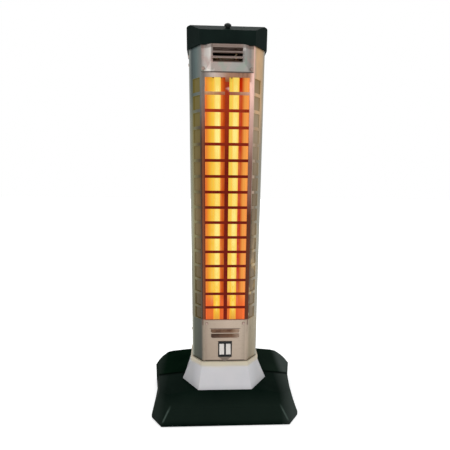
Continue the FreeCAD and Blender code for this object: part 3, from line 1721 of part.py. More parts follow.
for item in doc.Objects:
    for state in ("Invalid", "Error"):
        if state in item.State:
            raise RuntimeError(f"{item.Name} is {state}")
for part in parts:
    if part.Shape.isNull() or not part.Shape.isValid():
        raise RuntimeError(f"{part.Label} has no valid shape")

os.makedirs("parts", exist_ok=True)
for part in parts:
    part.Shape.exportStep(os.path.join("parts", f"{part.Label}.step"))
    solids = len(part.Shape.Solids)
    print(f"{part.Label}: {solids} solid(s), {part.Shape.Volume:.0f} mm3")
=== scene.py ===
import json
import math

import bmesh
import bpy
from mathutils import Matrix, Vector


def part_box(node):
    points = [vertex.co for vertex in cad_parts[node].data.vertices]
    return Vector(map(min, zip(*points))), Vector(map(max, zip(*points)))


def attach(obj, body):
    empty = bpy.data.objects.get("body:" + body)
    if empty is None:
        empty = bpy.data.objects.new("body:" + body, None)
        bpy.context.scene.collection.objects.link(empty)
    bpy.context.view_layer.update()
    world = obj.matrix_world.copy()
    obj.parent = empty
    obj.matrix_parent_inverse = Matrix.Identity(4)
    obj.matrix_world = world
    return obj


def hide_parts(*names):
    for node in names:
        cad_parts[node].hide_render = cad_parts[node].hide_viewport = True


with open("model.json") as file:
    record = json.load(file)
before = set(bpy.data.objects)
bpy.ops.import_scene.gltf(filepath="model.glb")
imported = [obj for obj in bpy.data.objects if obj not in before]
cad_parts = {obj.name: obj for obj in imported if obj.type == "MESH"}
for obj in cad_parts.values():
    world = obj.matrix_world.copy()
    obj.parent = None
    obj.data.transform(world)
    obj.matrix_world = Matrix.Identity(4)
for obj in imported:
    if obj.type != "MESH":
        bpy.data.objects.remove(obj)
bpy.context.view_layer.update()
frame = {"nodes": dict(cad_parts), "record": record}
NODES = frame["nodes"]

# Places on the column that the looks follow, in metres: distances from its middle, then places
# along Y, where the front is the minus side, then heights above the floor.
TUBE_X = 0.015
POST_HALF = 0.0036
VENT_HALF = 0.0222
HOOD_HALF = 0.0258
WINDOW_HALF = 0.0352
STRIP_X = 0.0379
TROUGH_HALF = 0.0400
CORNER_SPOT_X = 0.0402
CHAMFER_X = 0.0405
FOLD_X = 0.0424
PALE_X = 0.0442
FRONT_Y = -0.0440
PROUD_Y = -0.04695
PROUD_BLEND = 0.0003
COLLAR_GAP = 0.0941
TAB_TOP = 0.103
HOOD_FOOT = 0.134
HOOD_LIP = 0.1499
HOOD_TOP = 0.1574
CORNER_SPOT_Z = 0.1690
WINDOW_FOOT = 0.1760
FIRST_BAR = 0.551
WINDOW_HEAD = 0.566
VENT_FOOT = 0.5797
VENT_SLOTS = (0.6089, 0.6018, 0.5942)

# Heights between which the sheet's painted reflections turn from brown to bright, and between which
# the right chamfer's painted reflection pales.
TURN = (0.44, 0.56)
PALING = (0.36, 0.39)

# The ridge at each front corner of the base, as distances from the middle and heights.
RIDGE_TOP = (0.089, 0.047)
RIDGE_FOOT = (0.1122, 0.0065)

SEEN_THROUGH = ("Is Glossy Ray", "Is Transmission Ray")


def srgb(red, green, blue):
    """A colour given by its 0 to 255 values on screen, as a linear one."""

    def linear(value):
        value /= 255
        return value / 12.92 if value <= 0.04045 else ((value + 0.055) / 1.055) ** 2.4

    return linear(red), linear(green), linear(blue), 1.0


SIDE_SHEEN = srgb(64, 70, 67)
SEAM_SHADOW = srgb(0, 4, 2)
RIDGE_HIGHLIGHT = srgb(64, 76, 70)
GLINT_TAN = srgb(206, 176, 122)

# Tables of tones across the column. A row is a place, in metres right of the middle, and a colour.
# The shell's three tables are painted reflections and shade across the column.
SHELL_TOP_TONES = [
    (-0.0600, srgb(138, 142, 136)),
    (-0.0555, srgb(48, 62, 62)),
    (-0.0480, srgb(80, 96, 94)),
    (-0.0412, srgb(108, 109, 105)),
    (-0.0370, srgb(96, 92, 88)),
    (-0.0200, srgb(190, 176, 168)),
    (0.0345, srgb(214, 188, 178)),
    (0.0385, srgb(236, 190, 182)),
    (0.0440, srgb(180, 150, 118)),
    (0.0470, srgb(196, 156, 112)),
    (0.0560, srgb(176, 146, 110)),
    (0.0600, srgb(138, 138, 128)),
]
SHELL_LOW_TONES = [
    (-0.0600, srgb(142, 143, 132)),
    (-0.0540, srgb(118, 112, 70)),
    (-0.0445, srgb(70, 52, 12)),
    (-0.0412, srgb(46, 24, 12)),
    (-0.0385, srgb(122, 68, 40)),
    (-0.0352, srgb(96, 30, 12)),
    (0.0352, srgb(92, 22, 8)),
    (0.0385, srgb(94, 50, 30)),
    (0.0425, srgb(62, 48, 24)),
    (0.0460, srgb(98, 80, 48)),
    (0.0600, srgb(138, 137, 126)),
]
SHELL_FOOT_TONES = [
    (-0.0600, srgb(142, 143, 130)),
    (-0.0560, srgb(56, 60, 44)),
    (-0.0430, srgb(38, 40, 28)),
    (-0.0385, srgb(140, 126, 110)),
    (0.0385, srgb(156, 140, 124)),
    (0.0450, srgb(120, 106, 80)),
    (0.0560, srgb(134, 122, 98)),
    (0.0600, srgb(140, 137, 124)),
]
FIRST_BAR_TONES = [
    (-0.0350, srgb(200, 158, 112)),
    (-0.0200, srgb(180, 148, 90)),
    (-0.0110, srgb(160, 104, 54)),
    (0.0040, srgb(120, 58, 14)),
    (0.0120, srgb(124, 76, 14)),
    (0.0200, srgb(146, 94, 48)),
    (0.0350, srgb(196, 146, 122)),
]
PANEL_TONES = [
    (-0.0360, srgb(138, 122, 108)),
    (-0.0300, srgb(150, 134, 118)),
    (0.0050, srgb(166, 148, 132)),
    (0.0280, srgb(162, 146, 130)),
    (0.0360, srgb(146, 132, 116)),
]
# The raised panel's tones across it give its slopes painted light and shade.
VENT_TONES = [
    (-0.0403, srgb(120, 112, 108)),
    (-0.0350, srgb(176, 170, 164)),
    (-0.0265, srgb(204, 198, 192)),
    (-0.0245, srgb(126, 118, 112)),
    (0.0000, srgb(138, 132, 128)),
    (0.0245, srgb(128, 122, 118)),
    (0.0265, srgb(134, 131, 126)),
    (0.0350, srgb(122, 119, 114)),
    (0.0403, srgb(166, 144, 128)),
]
WING_TONES = [
    (-0.0562, srgb(138, 128, 104)),
    (-0.0500, srgb(126, 108, 70)),
    (-0.0430, srgb(106, 80, 42)),
    (0.0420, srgb(70, 52, 24)),
    (0.0455, srgb(126, 105, 76)),
    (0.0500, srgb(128, 110, 86)),
    (0.0562, srgb(148, 136, 112)),
]
GLOW_BANDS = [
    (-0.0400, srgb(208, 82, 44)),
    (-0.0345, srgb(228, 102, 50)),
    (-0.0265, srgb(250, 182, 48)),
    (-0.0210, srgb(252, 210, 66)),
    (-0.0095, srgb(240, 112, 32)),
    (-0.0020, srgb(162, 30, 8)),
    (0.0010, srgb(176, 48, 12)),
    (0.0060, srgb(250, 200, 66)),
    (0.0090, srgb(250, 216, 84)),
    (0.0200, srgb(194, 36, 2)),
    (0.0262, srgb(192, 38, 4)),
    (0.0315, srgb(244, 160, 76)),
    (0.0400, srgb(238, 146, 78)),
]

# Soft patches of colour on the raised panel and on the lower one. A tint is (colour, scale, cut,
# share).
VENT_TINTS = [
    (srgb(160, 122, 112), 44.0, 0.54, 0.45),
    (srgb(110, 132, 116), 56.0, 0.54, 0.55),
    (srgb(206, 198, 192), 80.0, 0.6, 0.6),
]
PANEL_TINTS = [(srgb(132, 114, 98), 34.0, 0.56, 0.4)]


# Node trees


class Nodes:
    """Short calls for building one material's node tree, and the object's own axes as values."""

    def __init__(self, name):
        self.material = bpy.data.materials.new(name)
        self.material.use_nodes = True
        self.tree = self.material.node_tree
        self.shader = self.tree.nodes["Principled BSDF"]
        self.place = self.tree.nodes.new("ShaderNodeTexCoord").outputs["Object"]
        self.x, self.y, self.z = self.split(self.place)
        self.aside = self.math("ABSOLUTE", self.x)

    def link(self, start, end):
        self.tree.links.new(start, end)

    def feed(self, value, socket):
        if isinstance(value, bpy.types.NodeSocket):
            self.link(value, socket)
        else:
            socket.default_value = value

    def split(self, vector):
        node = self.tree.nodes.new("ShaderNodeSeparateXYZ")
        self.link(vector, node.inputs[0])
        return node.outputs

    def noise(self, scale, stretch=(1, 1, 1), detail=4.0, rough=0.55):
        """Noise over the object's own place, stretched along its axes."""
        mapping = self.tree.nodes.new("ShaderNodeMapping")
        mapping.inputs["Scale"].default_value = stretch
        self.link(self.place, mapping.inputs["Vector"])
        node = self.tree.nodes.new("ShaderNodeTexNoise")
        node.inputs["Scale"].default_value = scale
        node.inputs["Detail"].default_value = detail
        node.inputs["Roughness"].default_value = rough
        self.link(mapping.outputs[0], node.inputs["Vector"])
        return node.outputs["Fac"]

    def cells(self, scale):
        node = self.tree.nodes.new("ShaderNodeTexVoronoi")
        node.inputs["Scale"].default_value = scale
        self.link(self.place, node.inputs["Vector"])
        return node.outputs["Distance"]

    def spread(self, value, low, high, to_low=0.0, to_high=1.0, smooth=False):
        """Maps a value from one range to another."""
        node = self.tree.nodes.new("ShaderNodeMapRange")
        node.interpolation_type = "SMOOTHSTEP" if smooth else "LINEAR"
        node.inputs["From Min"].default_value = low
        node.inputs["From Max"].default_value = high
        node.inputs["To Min"].default_value = to_low
        node.inputs["To Max"].default_value = to_high
        self.link(value, node.inputs["Value"])
        return node.outputs["Result"]

    def math(self, operation, first, second=0.0):
        node = self.tree.nodes.new("ShaderNodeMath")
        node.operation = operation
        self.feed(first, node.inputs[0])
        self.feed(second, node.inputs[1])
        return node.outputs[0]

    def add(self, first, second):
        return self.math("ADD", first, second)

    def over(self, value, limit):
        """One where the value is over the limit, nothing elsewhere."""
        return self.math("GREATER_THAN", value, limit)

    def under(self, value, limit):
        """One where the value is under the limit, nothing elsewhere."""
        return self.math("LESS_THAN", value, limit)

    def times(self, first, *others):
        """The product of several values."""
        for other in others:
            first = self.math("MULTIPLY", first, other)
        return first

    def most(self, first, *others):
        """The largest of several values."""
        for other in others:
            first = self.math("MAXIMUM", first, other)
        return first

    def rest(self, share):
        """What a share leaves of one."""
        return self.math("SUBTRACT", 1.0, share)

    def band(self, value, centre, half, soft):
        """One within half of the centre, falling to nothing over soft."""
        away = self.math("ABSOLUTE", self.math("SUBTRACT", value, centre))
        return self.spread(away, half, half + soft, 1.0, 0.0)

    def facing(self):
        """Which way the surface faces, as its three parts."""
        return self.split(self.tree.nodes.new("ShaderNodeNewGeometry").outputs["Normal"])

    def ramp(self, value, stops):
        """The colours of a table whose rows are (place, colour)."""
        low, high = stops[0][0], stops[-1][0]
        node = self.tree.nodes.new("ShaderNodeValToRGB")
        spots = node.color_ramp.elements
        spots[0].color = stops[0][1]
        spots[1].color = stops[-1][1]
        for place, colour in stops[1:-1]:
            spots.new((place - low) / (high - low)).color = colour
        self.link(self.spread(value, low, high), node.inputs["Fac"])
        return node.outputs["Color"]

    def mix(self, share, first, second, blend="MIX"):
        node = self.tree.nodes.new("ShaderNodeMix")
        node.data_type = "RGBA"
        node.blend_type = blend
        self.feed(share, node.inputs["Factor"])
        self.feed(first, node.inputs["A"])
        self.feed(second, node.inputs["B"])
        return node.outputs["Result"]

    def bump(self, height, strength, distance):
        node = self.tree.nodes.new("ShaderNodeBump")
        node.inputs["Strength"].default_value = strength
        node.inputs["Distance"].default_value = distance
        self.link(height, node.inputs["Height"])
        self.link(node.outputs[0], self.shader.inputs["Normal"])

    def set(self, **values):
        """Sets the shader's own sockets. Underscores stand for the spaces in their names."""
        for name, value in values.items():
            self.feed(value, self.shader.inputs[name.replace("_", " ")])


# Moulded plastics


def ridge_highlight(n):
    """A painted highlight line down the lower part of the ridge at each front corner of the base."""
    run = (RIDGE_FOOT[0] - RIDGE_TOP[0]) / (RIDGE_TOP[1] - RIDGE_FOOT[1])
    drop = n.math("SUBTRACT", RIDGE_TOP[1], n.z)
    ridge_x = n.add(n.times(drop, run), RIDGE_TOP[0])
    across = n.math("SUBTRACT", n.aside, ridge_x)
    line = n.band(across, -0.0008, 0.0007, 0.0016)
    fades_up = n.spread(n.z, 0.024, 0.032, 0.8, 0.0)
    fades_down = n.spread(n.z, 0.008, 0.0115)
    return n.times(line, fades_up, fades_down)


def seam_shade(n):
    """The two halves of the base meet in a line of painted shadow."""
    return n.spread(n.math("ABSOLUTE", n.y), 0.002, 0.006, 0.8, 0.0)


def front_painted_light(n, colour):
    """The base's front half: a slope made paler by painted light, painted highlights down the ridges
    and painted sheen on the sides.
    """
    slope = n.times(n.spread(n.z, 0.004, 0.012), n.spread(n.z, 0.030, 0.047, 0.6, 0.0))
    colour = n.mix(slope, colour, srgb(24, 33, 28))
    colour = n.mix(n.spread(n.x, 0.098, 0.122, 0.0, 0.6), colour, SIDE_SHEEN)
    colour = n.mix(n.spread(n.x, -0.122, -0.108, 0.18, 0.0), colour, SIDE_SHEEN)
    colour = n.mix(seam_shade(n), colour, SEAM_SHADOW)
    return n.mix(ridge_highlight(n), colour, RIDGE_HIGHLIGHT)


def rear_painted_light(n, colour):
    """The base's rear half has painted sheen on its sides, the right one more."""
    near = n.spread(n.x, 0.060, 0.085, 0.0, 0.1)
    edge = n.spread(n.x, 0.108, 0.125, 0.0, 0.8, smooth=True)
    left = n.spread(n.x, -0.133, -0.118, 0.25, 0.0)
    colour = n.mix(n.add(n.add(near, edge), left), colour, SIDE_SHEEN)
    return n.mix(seam_shade(n), colour, SEAM_SHADOW)


def moulded_plastic(
    name, dark, light, rough, grain=900.0, grain_depth=0.25, coat=0.0, specular=0.5, painted_light=None
):
    """Moulded plastic: slight cloudiness, a fine spark-eroded grain and soft scuffs."""
    n = Nodes(name)
    cloud = n.noise(22.0, detail=3.0)
    fine = n.noise(grain, detail=2.0)
    scuff = n.spread(n.noise(60.0, (1, 1, 4), detail=6.0), 0.58, 0.75, smooth=True)
    colour = n.mix(n.spread(cloud, 0.3, 0.7), dark, light)
    colour = n.mix(n.times(scuff, 0.18), colour, light)
    # The base halves add their painted light and shade here.
    if painted_light is not None:
        colour = painted_light(n, colour)
    n.set(Base_Color=colour)
    n.set(Roughness=n.spread(n.add(fine, n.times(scuff, 0.6)), 0.3, 1.3, *rough))
    n.set(Coat_Weight=coat, Specular_IOR_Level=specular)
    n.bump(fine, grain_depth, 0.00008)
    return n.material


def collar_plastic(name):
    """Cool white plastic, cream along the rim beside the column, with painted shade on its sides and
    darker towards its foot.
    """
    n = Nodes(name)
    cloud = n.noise(24.0, detail=4.0)
    body = n.mix(n.spread(cloud, 0.35, 0.65), srgb(186, 184, 187), srgb(192, 189, 191))
    # Painted shade: the sides are darker, the left one more.
    side = n.mix(n.under(n.x, 0.0), srgb(168, 166, 166), srgb(154, 153, 155))
    body = n.mix(n.spread(n.aside, 0.046, 0.060, 0.0, 0.7), body, side)
    cream = n.mix(cloud, srgb(184, 170, 150), srgb(206, 195, 172))
    rim = n.spread(n.add(n.z, n.times(cloud, 0.006)), 0.0845, 0.0915, smooth=True)
    foot = n.rest(n.spread(n.z, 0.047, 0.056, smooth=True))
    colour = n.mix(rim, body, cream)
    colour = n.mix(n.times(foot, 0.35), colour, srgb(150, 148, 150))
    fine = n.noise(1100.0, detail=2.0)
    n.set(Base_Color=colour, Roughness=n.spread(fine, 0.3, 0.7, 0.34, 0.5))
    n.set(Subsurface_Weight=0.03)
    n.bump(fine, 0.15, 0.00006)
    return n.material


# Sheets


def brushed_metal(name, colour, metallic, rough, grain_axis):
    """Rolled or brushed sheet: fine lines along one axis, smudges and slight waviness."""
    n = Nodes(name)
    variation = 0.12
    stretch = {"x": (1, 60, 60), "z": (60, 60, 1)}[grain_axis]
    lines = n.noise(60.0, stretch, detail=3.0)
    smudge = n.noise(18.0, detail=5.0)
    both = n.add(lines, smudge)
    dark = tuple(part * (1 - variation) for part in colour[:3]) + (1.0,)
    light = tuple(min(1.0, part * (1 + variation)) for part in colour[:3]) + (1.0,)
    n.set(Base_Color=n.mix(n.spread(both, 0.7, 1.3), dark, light))
    n.set(Metallic=metallic)
    n.set(Roughness=n.spread(both, 0.7, 1.3, *rough))
    n.bump(n.add(lines, n.times(smudge, 0.8)), 0.12, 0.00006)
    return n.material


def low_left(n):
    """Painted shade: the left chamfer, and the side behind it, darken towards the foot of the window.
    """
    return n.times(n.under(n.x, -CHAMFER_X), n.spread(n.z, 0.20, 0.34, 0.6, 0.0))


def chamfer_glints(n):
    """Where the right chamfer throws back warm light, in leaf-shaped patches low down."""
    patch = n.spread(n.noise(52.0, (1.4, 1, 0.6), detail=2.0), 0.50, 0.62, smooth=True)
    low = n.times(n.spread(n.z, 0.26, 0.36, 0.5, 0.0), n.spread(n.z, 0.172, 0.180))
    near_fold = n.times(n.over(n.x, 0.0415), n.spread(n.x, 0.0480, 0.0560, 1.0, 0.15))
    return n.times(patch, low, near_fold)


def cell_edges(n):
    """The cut edges of the chamfers' cells: they face up, down or towards the column's middle."""
    turned = n.facing()
    flat = n.over(n.math("ABSOLUTE", turned["Z"]), 0.5)
    inward = n.under(n.times(n.math("SIGN", n.x), turned["X"]), -0.2)
    return n.times(n.most(flat, inward), n.over(n.aside, CHAMFER_X))


def wing_tone(n):
    """The reflector's wings behind the chamfers' cells in painted reflection tones, olive at the left,
    tan at the right.
    """
    low = n.ramp(n.x, WING_TONES)
    tan = n.mix(n.spread(n.z, 0.50, 0.57), srgb(166, 146, 118), srgb(144, 120, 82))
    top = n.mix(n.over(n.x, 0.0), srgb(112, 100, 50), tan)
    colour = n.mix(n.spread(n.z, 0.40, 0.52), low, top)
    colour = n.mix(low_left(n), colour, srgb(52, 40, 8))
    return n.mix(chamfer_glints(n), colour, srgb(206, 174, 122))


def reflected_tones(n, height):
    """The shell's painted reflections and shade round its folds: bright above, brown beside the window,
    plain below.
    """
    turn = n.add(height, n.spread(n.x, -0.041, 0.041, -0.025, 0.010))
    turn = n.spread(turn, *TURN, smooth=True)
    colour = n.mix(turn, n.ramp(n.x, SHELL_LOW_TONES), n.ramp(n.x, SHELL_TOP_TONES))
    colour = n.mix(low_left(n), colour, srgb(44, 34, 6))

    # Painted reflections: the strip right of the window brightens upwards in steps, and the chamfer
    # beside it is pale just above its middle.
    steps = n.add(n.spread(n.z, 0.36, 0.40, 0.0, 0.14), n.spread(n.z, 0.44, 0.52, 0.0, 0.50))
    steps = n.add(steps, n.spread(n.z, 0.52, 0.552, 0.0, 0.36))
    strip = n.mix(steps, srgb(82, 38, 20), srgb(234, 190, 176))
    colour = n.mix(n.band(n.x, STRIP_X, 0.0027, 0.0014), colour, strip)
    pale = n.times(n.band(n.x, PALE_X, 0.0018, 0.0014), n.spread(n.z, *PALING))
    pale = n.times(pale, n.spread(n.z, 0.47, 0.51, 0.7, 0.0))
    colour = n.mix(pale, colour, srgb(176, 150, 130))
    above_foot = n.spread(n.z, WINDOW_FOOT - 0.004, WINDOW_FOOT, smooth=True)
    return n.mix(above_foot, n.ramp(n.x, SHELL_FOOT_TONES), colour)


def shaded_bar_share(n, height, in_window, above):
    """Where the bars in front of the tubes, and the upright up to the head, carry painted shade against
    the glow.
    """
    bars = n.times(in_window, above, n.rest(n.spread(height, 0.533, 0.556, smooth=True)))
    upright = n.times(n.under(n.aside, POST_HALF), in_window)
    head = n.rest(n.spread(n.z, WINDOW_HEAD, WINDOW_HEAD + 0.011, smooth=True))
    return n.most(bars, n.times(upright, above, head))


def shaded_bar_tint(n):
    """The bars' painted shade, dark red from the glow, lighter towards the top, with pale patches of
    painted reflection there.
    """
    tint = n.mix(n.noise(40.0, (1, 1, 3)), srgb(78, 5, 0), srgb(122, 22, 0))
    tint = n.mix(n.spread(n.z, 0.44, 0.54, 0.0, 0.6), tint, srgb(170, 56, 22))
    pale_reflection = n.spread(n.noise(34.0, (1, 1, 1.6), detail=2.0), 0.6, 0.72, smooth=True)
    pale_reflection = n.times(pale_reflection, n.spread(n.z, 0.50, 0.53, smooth=True), 0.7)
    return n.mix(pale_reflection, tint, srgb(214, 170, 156))


def shell_marks(n, colour, front):
    """Single marks on the shell: over the window, beside the lower panel and at its foot."""
    # The sheet over the window is brown from its middle to the right.
    brow = n.times(n.spread(n.x, -0.024, 0.002, 0.1, 0.85), n.spread(n.aside, 0.034, 0.039, 1.0, 0.0))
    brow = n.times(brow, n.over(n.z, WINDOW_HEAD), front)
    colour = n.mix(brow, colour, srgb(128, 80, 44))

    # Dark spots at the upper corners of the lower panel.
    spot = n.times(n.band(n.aside, CORNER_SPOT_X, 0.0006, 0.0014), n.band(n.z, CORNER_SPOT_Z, 0.0035, 0.0030))
    colour = n.mix(n.times(spot, front, 0.7), colour, srgb(70, 40, 28))

    # Painted shade: the sheet shows as a dark line in the gap between the panel and the collar.
    gap = n.rest(n.spread(n.z, COLLAR_GAP, COLLAR_GAP + 0.0005))
    return n.mix(n.times(gap, 0.8), colour, srgb(60, 50, 44))


def shell_steel(name):
    """The column's bright sheet, with painted reflections and shade along its height and round its
    folds.
    """
    n = Nodes(name)
    drift = n.times(n.math("SUBTRACT", n.noise(9.0, (1, 1, 0.6)), 0.5), 0.06)
    height = n.add(n.z, drift)
    front = n.under(n.y, FRONT_Y)
    in_window = n.times(n.under(n.aside, WINDOW_HALF), front)
    above = n.spread(n.z, WINDOW_FOOT - 0.0025, WINDOW_FOOT, smooth=True)

    # The first bar from the top has painted reflection and shade: tan at its ends, brown in its middle.
    first = n.times(in_window, n.band(n.z, FIRST_BAR, 0.006, 0.003), 0.8)
    colour = n.mix(first, reflected_tones(n, height), n.ramp(n.x, FIRST_BAR_TONES))
    shaded_bars = shaded_bar_share(n, height, in_window, above)
    colour = n.mix(shaded_bars, colour, shaded_bar_tint(n))
    colour = n.mix(chamfer_glints(n), colour, GLINT_TAN)
    colour = shell_marks(n, colour, front)

    # Rolling lines and smudges lighten and darken the whole sheet.
    lines = n.noise(50.0, (50, 50, 1), detail=3.0)
    smudge = n.noise(26.0, (1, 1, 0.7), detail=6.0)
    both = n.add(lines, smudge)
    grey = n.tree.nodes.new("ShaderNodeCombineXYZ")
    streak = n.spread(both, 0.75, 1.25, 0.84, 1.14)
    for socket in grey.inputs:
        n.link(streak, socket)
    n.set(Base_Color=n.mix(1.0, colour, grey.outputs[0], "MULTIPLY"))

    # The bars and the strips beside the window, where painted shade lies, and the first bar are duller,
    # and so is the right fold up to where its chamfer pales.
    beside = n.times(n.spread(n.aside, 0.0410, 0.0425, 1.0, 0.0), front, above)
    beside = n.times(beside, n.spread(height, *TURN, 0.9, 0.0, smooth=True))
    fold = n.times(n.band(n.x, FOLD_X, 0.0010, 0.0012), n.spread(n.z, *PALING, 0.9, 0.0), above)
    matt = n.most(shaded_bars, beside, fold, first)
    n.set(Metallic=n.spread(matt, 0.0, 1.0, 0.5, 0.1))
    n.set(Specular_IOR_Level=n.spread(matt, 0.0, 1.0, 0.5, 0.1))
    n.set(Roughness=n.spread(both, 0.75, 1.25, 0.26, 0.44))
    # The cells' cut edges glow in the wings' tones: painted light that softens their shade.
    n.set(Emission_Color=wing_tone(n), Emission_Strength=cell_edges(n))
    n.bump(n.add(lines, n.times(smudge, 1.4)), 0.18, 0.00008)
    return n.material


def streaked(n, colour, tints):
    """Soft patches of colour over a bright sheet."""
    for tone, scale, cut, share in tints:
        patch = n.spread(n.noise(scale, (1, 1, 0.6), detail=2.0), cut, cut + 0.12, smooth=True)
        colour = n.mix(n.times(patch, share), colour, tone)
    return colour


def finish_sheet(n, colour):
    """Gives the faces that look into the column a brown painted shade, and gives the sheet its shine.
    """
    inner = n.over(n.facing()["Y"], 0.2)
    colour = n.mix(n.times(inner, 0.9), colour, srgb(84, 54, 40))
    lines = n.noise(60.0, (1, 60, 60), detail=3.0)
    n.set(Base_Color=colour, Metallic=0.5)
    n.set(Roughness=n.spread(lines, 0.3, 0.7, 0.26, 0.4))
    n.bump(lines, 0.1, 0.00005)
    return n.material


def control_sheet(name):
    """The lower panel: warm bright sheet, hoods in painted shade with a painted highlight on the lip,
    and a painted shadow line at the foot.
    """
    n = Nodes(name)
    colour = streaked(n, n.ramp(n.x, PANEL_TONES), PANEL_TINTS)
    standing = n.spread(n.y, PROUD_Y, PROUD_Y + PROUD_BLEND, 1.0, 0.0)

    # The hoods carry painted shade, darkest at the left of the lower one, with a painted highlight on
    # the lip between them and a painted shade line in the crease above.
    patchy_shade = n.spread(n.noise(70.0, (1, 1, 1.5), detail=3.0), 0.35, 0.65)
    hood = n.mix(patchy_shade, srgb(80, 50, 32), srgb(122, 92, 68))
    depth = n.spread(n.under(n.z, HOOD_LIP), 0.0, 1.0, 0.35, 0.9)
    left = n.times(depth, n.rest(n.spread(n.x, -0.020, 0.014)))
    hood = n.mix(left, hood, srgb(50, 26, 12))
    hood = n.mix(n.spread(n.x, 0.012, 0.025, 0.0, 0.55), hood, srgb(166, 146, 128))
    colour = n.mix(n.times(standing, n.over(n.z, HOOD_FOOT)), colour, hood)
    lip = n.times(n.band(n.z, HOOD_LIP, 0.0005, 0.0005), n.under(n.aside, HOOD_HALF), 0.8)
    colour = n.mix(lip, colour, srgb(214, 198, 180))
    crease = n.times(n.band(n.z, HOOD_TOP, 0.0003, 0.0008), n.spread(n.aside, 0.0262, 0.0290, 0.8, 0.0))
    colour = n.mix(crease, colour, srgb(62, 38, 26))

    # The tab over the collar is greyer than the panel with painted shade, and the panel's foot has a
    # painted shadow.
    tab = n.times(standing, n.under(n.z, TAB_TOP))
    colour = n.mix(n.times(tab, 0.8), colour, srgb(88, 78, 68))
    foot = n.math("SUBTRACT", n.spread(n.z, 0.0952, 0.0966, 0.85, 0.0), tab)
    colour = n.mix(foot, colour, srgb(48, 40, 34))
    return finish_sheet(n, colour)


def vent_sheet(name):
    """The raised upper panel: painted light and shade give each slope its own tone, with pink and green
    patches.
    """
    n = Nodes(name)
    colour = streaked(n, n.ramp(n.x, VENT_TONES), VENT_TINTS)
    # Painted shade on the lower slope.
    slope = n.spread(n.z, 0.5895, 0.5930, 0.5, 0.0, smooth=True)
    slope = n.times(slope, n.spread(n.aside, 0.024, 0.030, 1.0, 0.0))
    colour = n.mix(slope, colour, srgb(132, 132, 126))
    within = n.spread(n.aside, VENT_HALF, VENT_HALF + 0.0008, 1.0, 0.0)
    pressed = n.times(within, n.over(n.z, 0.5960), 0.75)
    colour = n.mix(pressed, colour, srgb(176, 156, 146))
    for centre in VENT_SLOTS:
        shadow = n.times(n.band(n.z, centre, 0.0021, 0.0006), within, 0.9)
        colour = n.mix(shadow, colour, srgb(50, 30, 18))
    # A painted shadow under the cap, and a painted shadow line along the panel's foot.
    under_cap = n.times(n.spread(n.z, 0.6108, 0.6125), 0.6)
    colour = n.mix(under_cap, colour, srgb(84, 62, 50))
    foot = n.times(n.band(n.z, VENT_FOOT, 0.0004, 0.0007), 0.85)
    colour = n.mix(foot, colour, srgb(56, 40, 34))
    return finish_sheet(n, colour)


def lit_reflector(name):
    """Polished sheet with the tubes' glow painted on in bands along its folds, and a fainter painted
    spill on its wings.
    """
    n = Nodes(name)
    wave = n.noise(26.0, (1.4, 1, 0.5), detail=3.0)
    bands = n.mix(n.spread(wave, 0.46, 0.74, 0.0, 0.4), n.ramp(n.x, GLOW_BANDS), srgb(250, 176, 76))

    # The wings, the outer sides and the back don't glow like the troughs.
    turned = n.facing()
    outward = n.over(n.times(n.math("SIGN", n.x), turned["X"]), 0.3)
    outward = n.times(outward, n.over(n.aside, 0.020))
    rear = n.over(turned["Y"], 0.3)
    wing = n.over(n.aside, TROUGH_HALF)
    outside = n.most(outward, rear, wing)
    inside = n.rest(outside)
    spill = n.times(wing, n.rest(rear))
    tone = wing_tone(n)
    dark = n.mix(wave, srgb(36, 22, 10), srgb(60, 38, 18))
    shaded = n.mix(n.times(spill, 0.55), tone, srgb(10, 8, 5))
    n.set(Base_Color=n.mix(outside, dark, shaded))
    n.set(Metallic=n.times(inside, 0.4))
    n.set(Specular_IOR_Level=n.spread(spill, 0.0, 1.0, 0.5, 0.12))
    lines = n.noise(60.0, (60, 60, 1), detail=2.0)
    n.set(Roughness=n.spread(lines, 0.3, 0.7, 0.16, 0.3))

    # The glow reddens at the foot and dies away towards both ends.
    low = n.times(n.spread(n.z, 0.190, 0.222, 0.9, 0.0, smooth=True), inside)
    bands = n.mix(low, bands, srgb(236, 104, 52))
    ends = n.times(n.spread(n.z, 0.150, 0.166, 0.7, 1.0), n.spread(n.z, 0.575, 0.600, 1.0, 0.35))
    strength = n.add(n.times(inside, ends, 0.88), n.times(spill, 0.42))
    n.set(Emission_Color=n.mix(spill, bands, tone), Emission_Strength=strength)
    n.bump(lines, 0.08, 0.00005)
    return n.material


# Tubes, ceramics and leads


def glowing_quartz(name):
    """Milky quartz: clear enough to show the coil's turns, lit up by it along its length."""
    n = Nodes(name)
    warm = n.noise(14.0, (1, 1, 0.5), detail=2.0)
    lit = n.times(
        n.spread(n.z, 0.150, 0.196, smooth=True), n.rest(n.spread(n.z, 0.580, 0.604, smooth=True))
    )
    glow = n.mix(n.spread(warm, 0.35, 0.65), srgb(250, 206, 56), srgb(255, 242, 138))
    glow = n.mix(lit, srgb(214, 120, 40), glow)
    off_middle = n.math("ABSOLUTE", n.math("SUBTRACT", n.aside, TUBE_X))
    glow = n.mix(n.spread(off_middle, 0.0030, 0.0058, 0.0, 0.8), glow, srgb(246, 176, 44))
    n.set(Base_Color=srgb(120, 106, 70), Roughness=n.spread(warm, 0.3, 0.7, 0.1, 0.22))
    n.set(Emission_Color=glow, Emission_Strength=0.83)
    n.set(Alpha=0.86, IOR=1.46)
    n.bump(n.noise(400.0, (1, 1, 0.1)), 0.05, 0.00005)
    return n.material


def hot_coil(name):
    n = Nodes(name)
    patch = n.spread(n.noise(30.0, (1, 1, 0.4)), 0.35, 0.65)
    n.set(Base_Color=srgb(150, 90, 50), Metallic=0.8, Roughness=n.spread(patch, 0, 1, 0.4, 0.6))
    n.set(Emission_Color=n.mix(patch, srgb(255, 208, 92), srgb(255, 240, 170)))
    n.set(Emission_Strength=1.25)
    return n.material


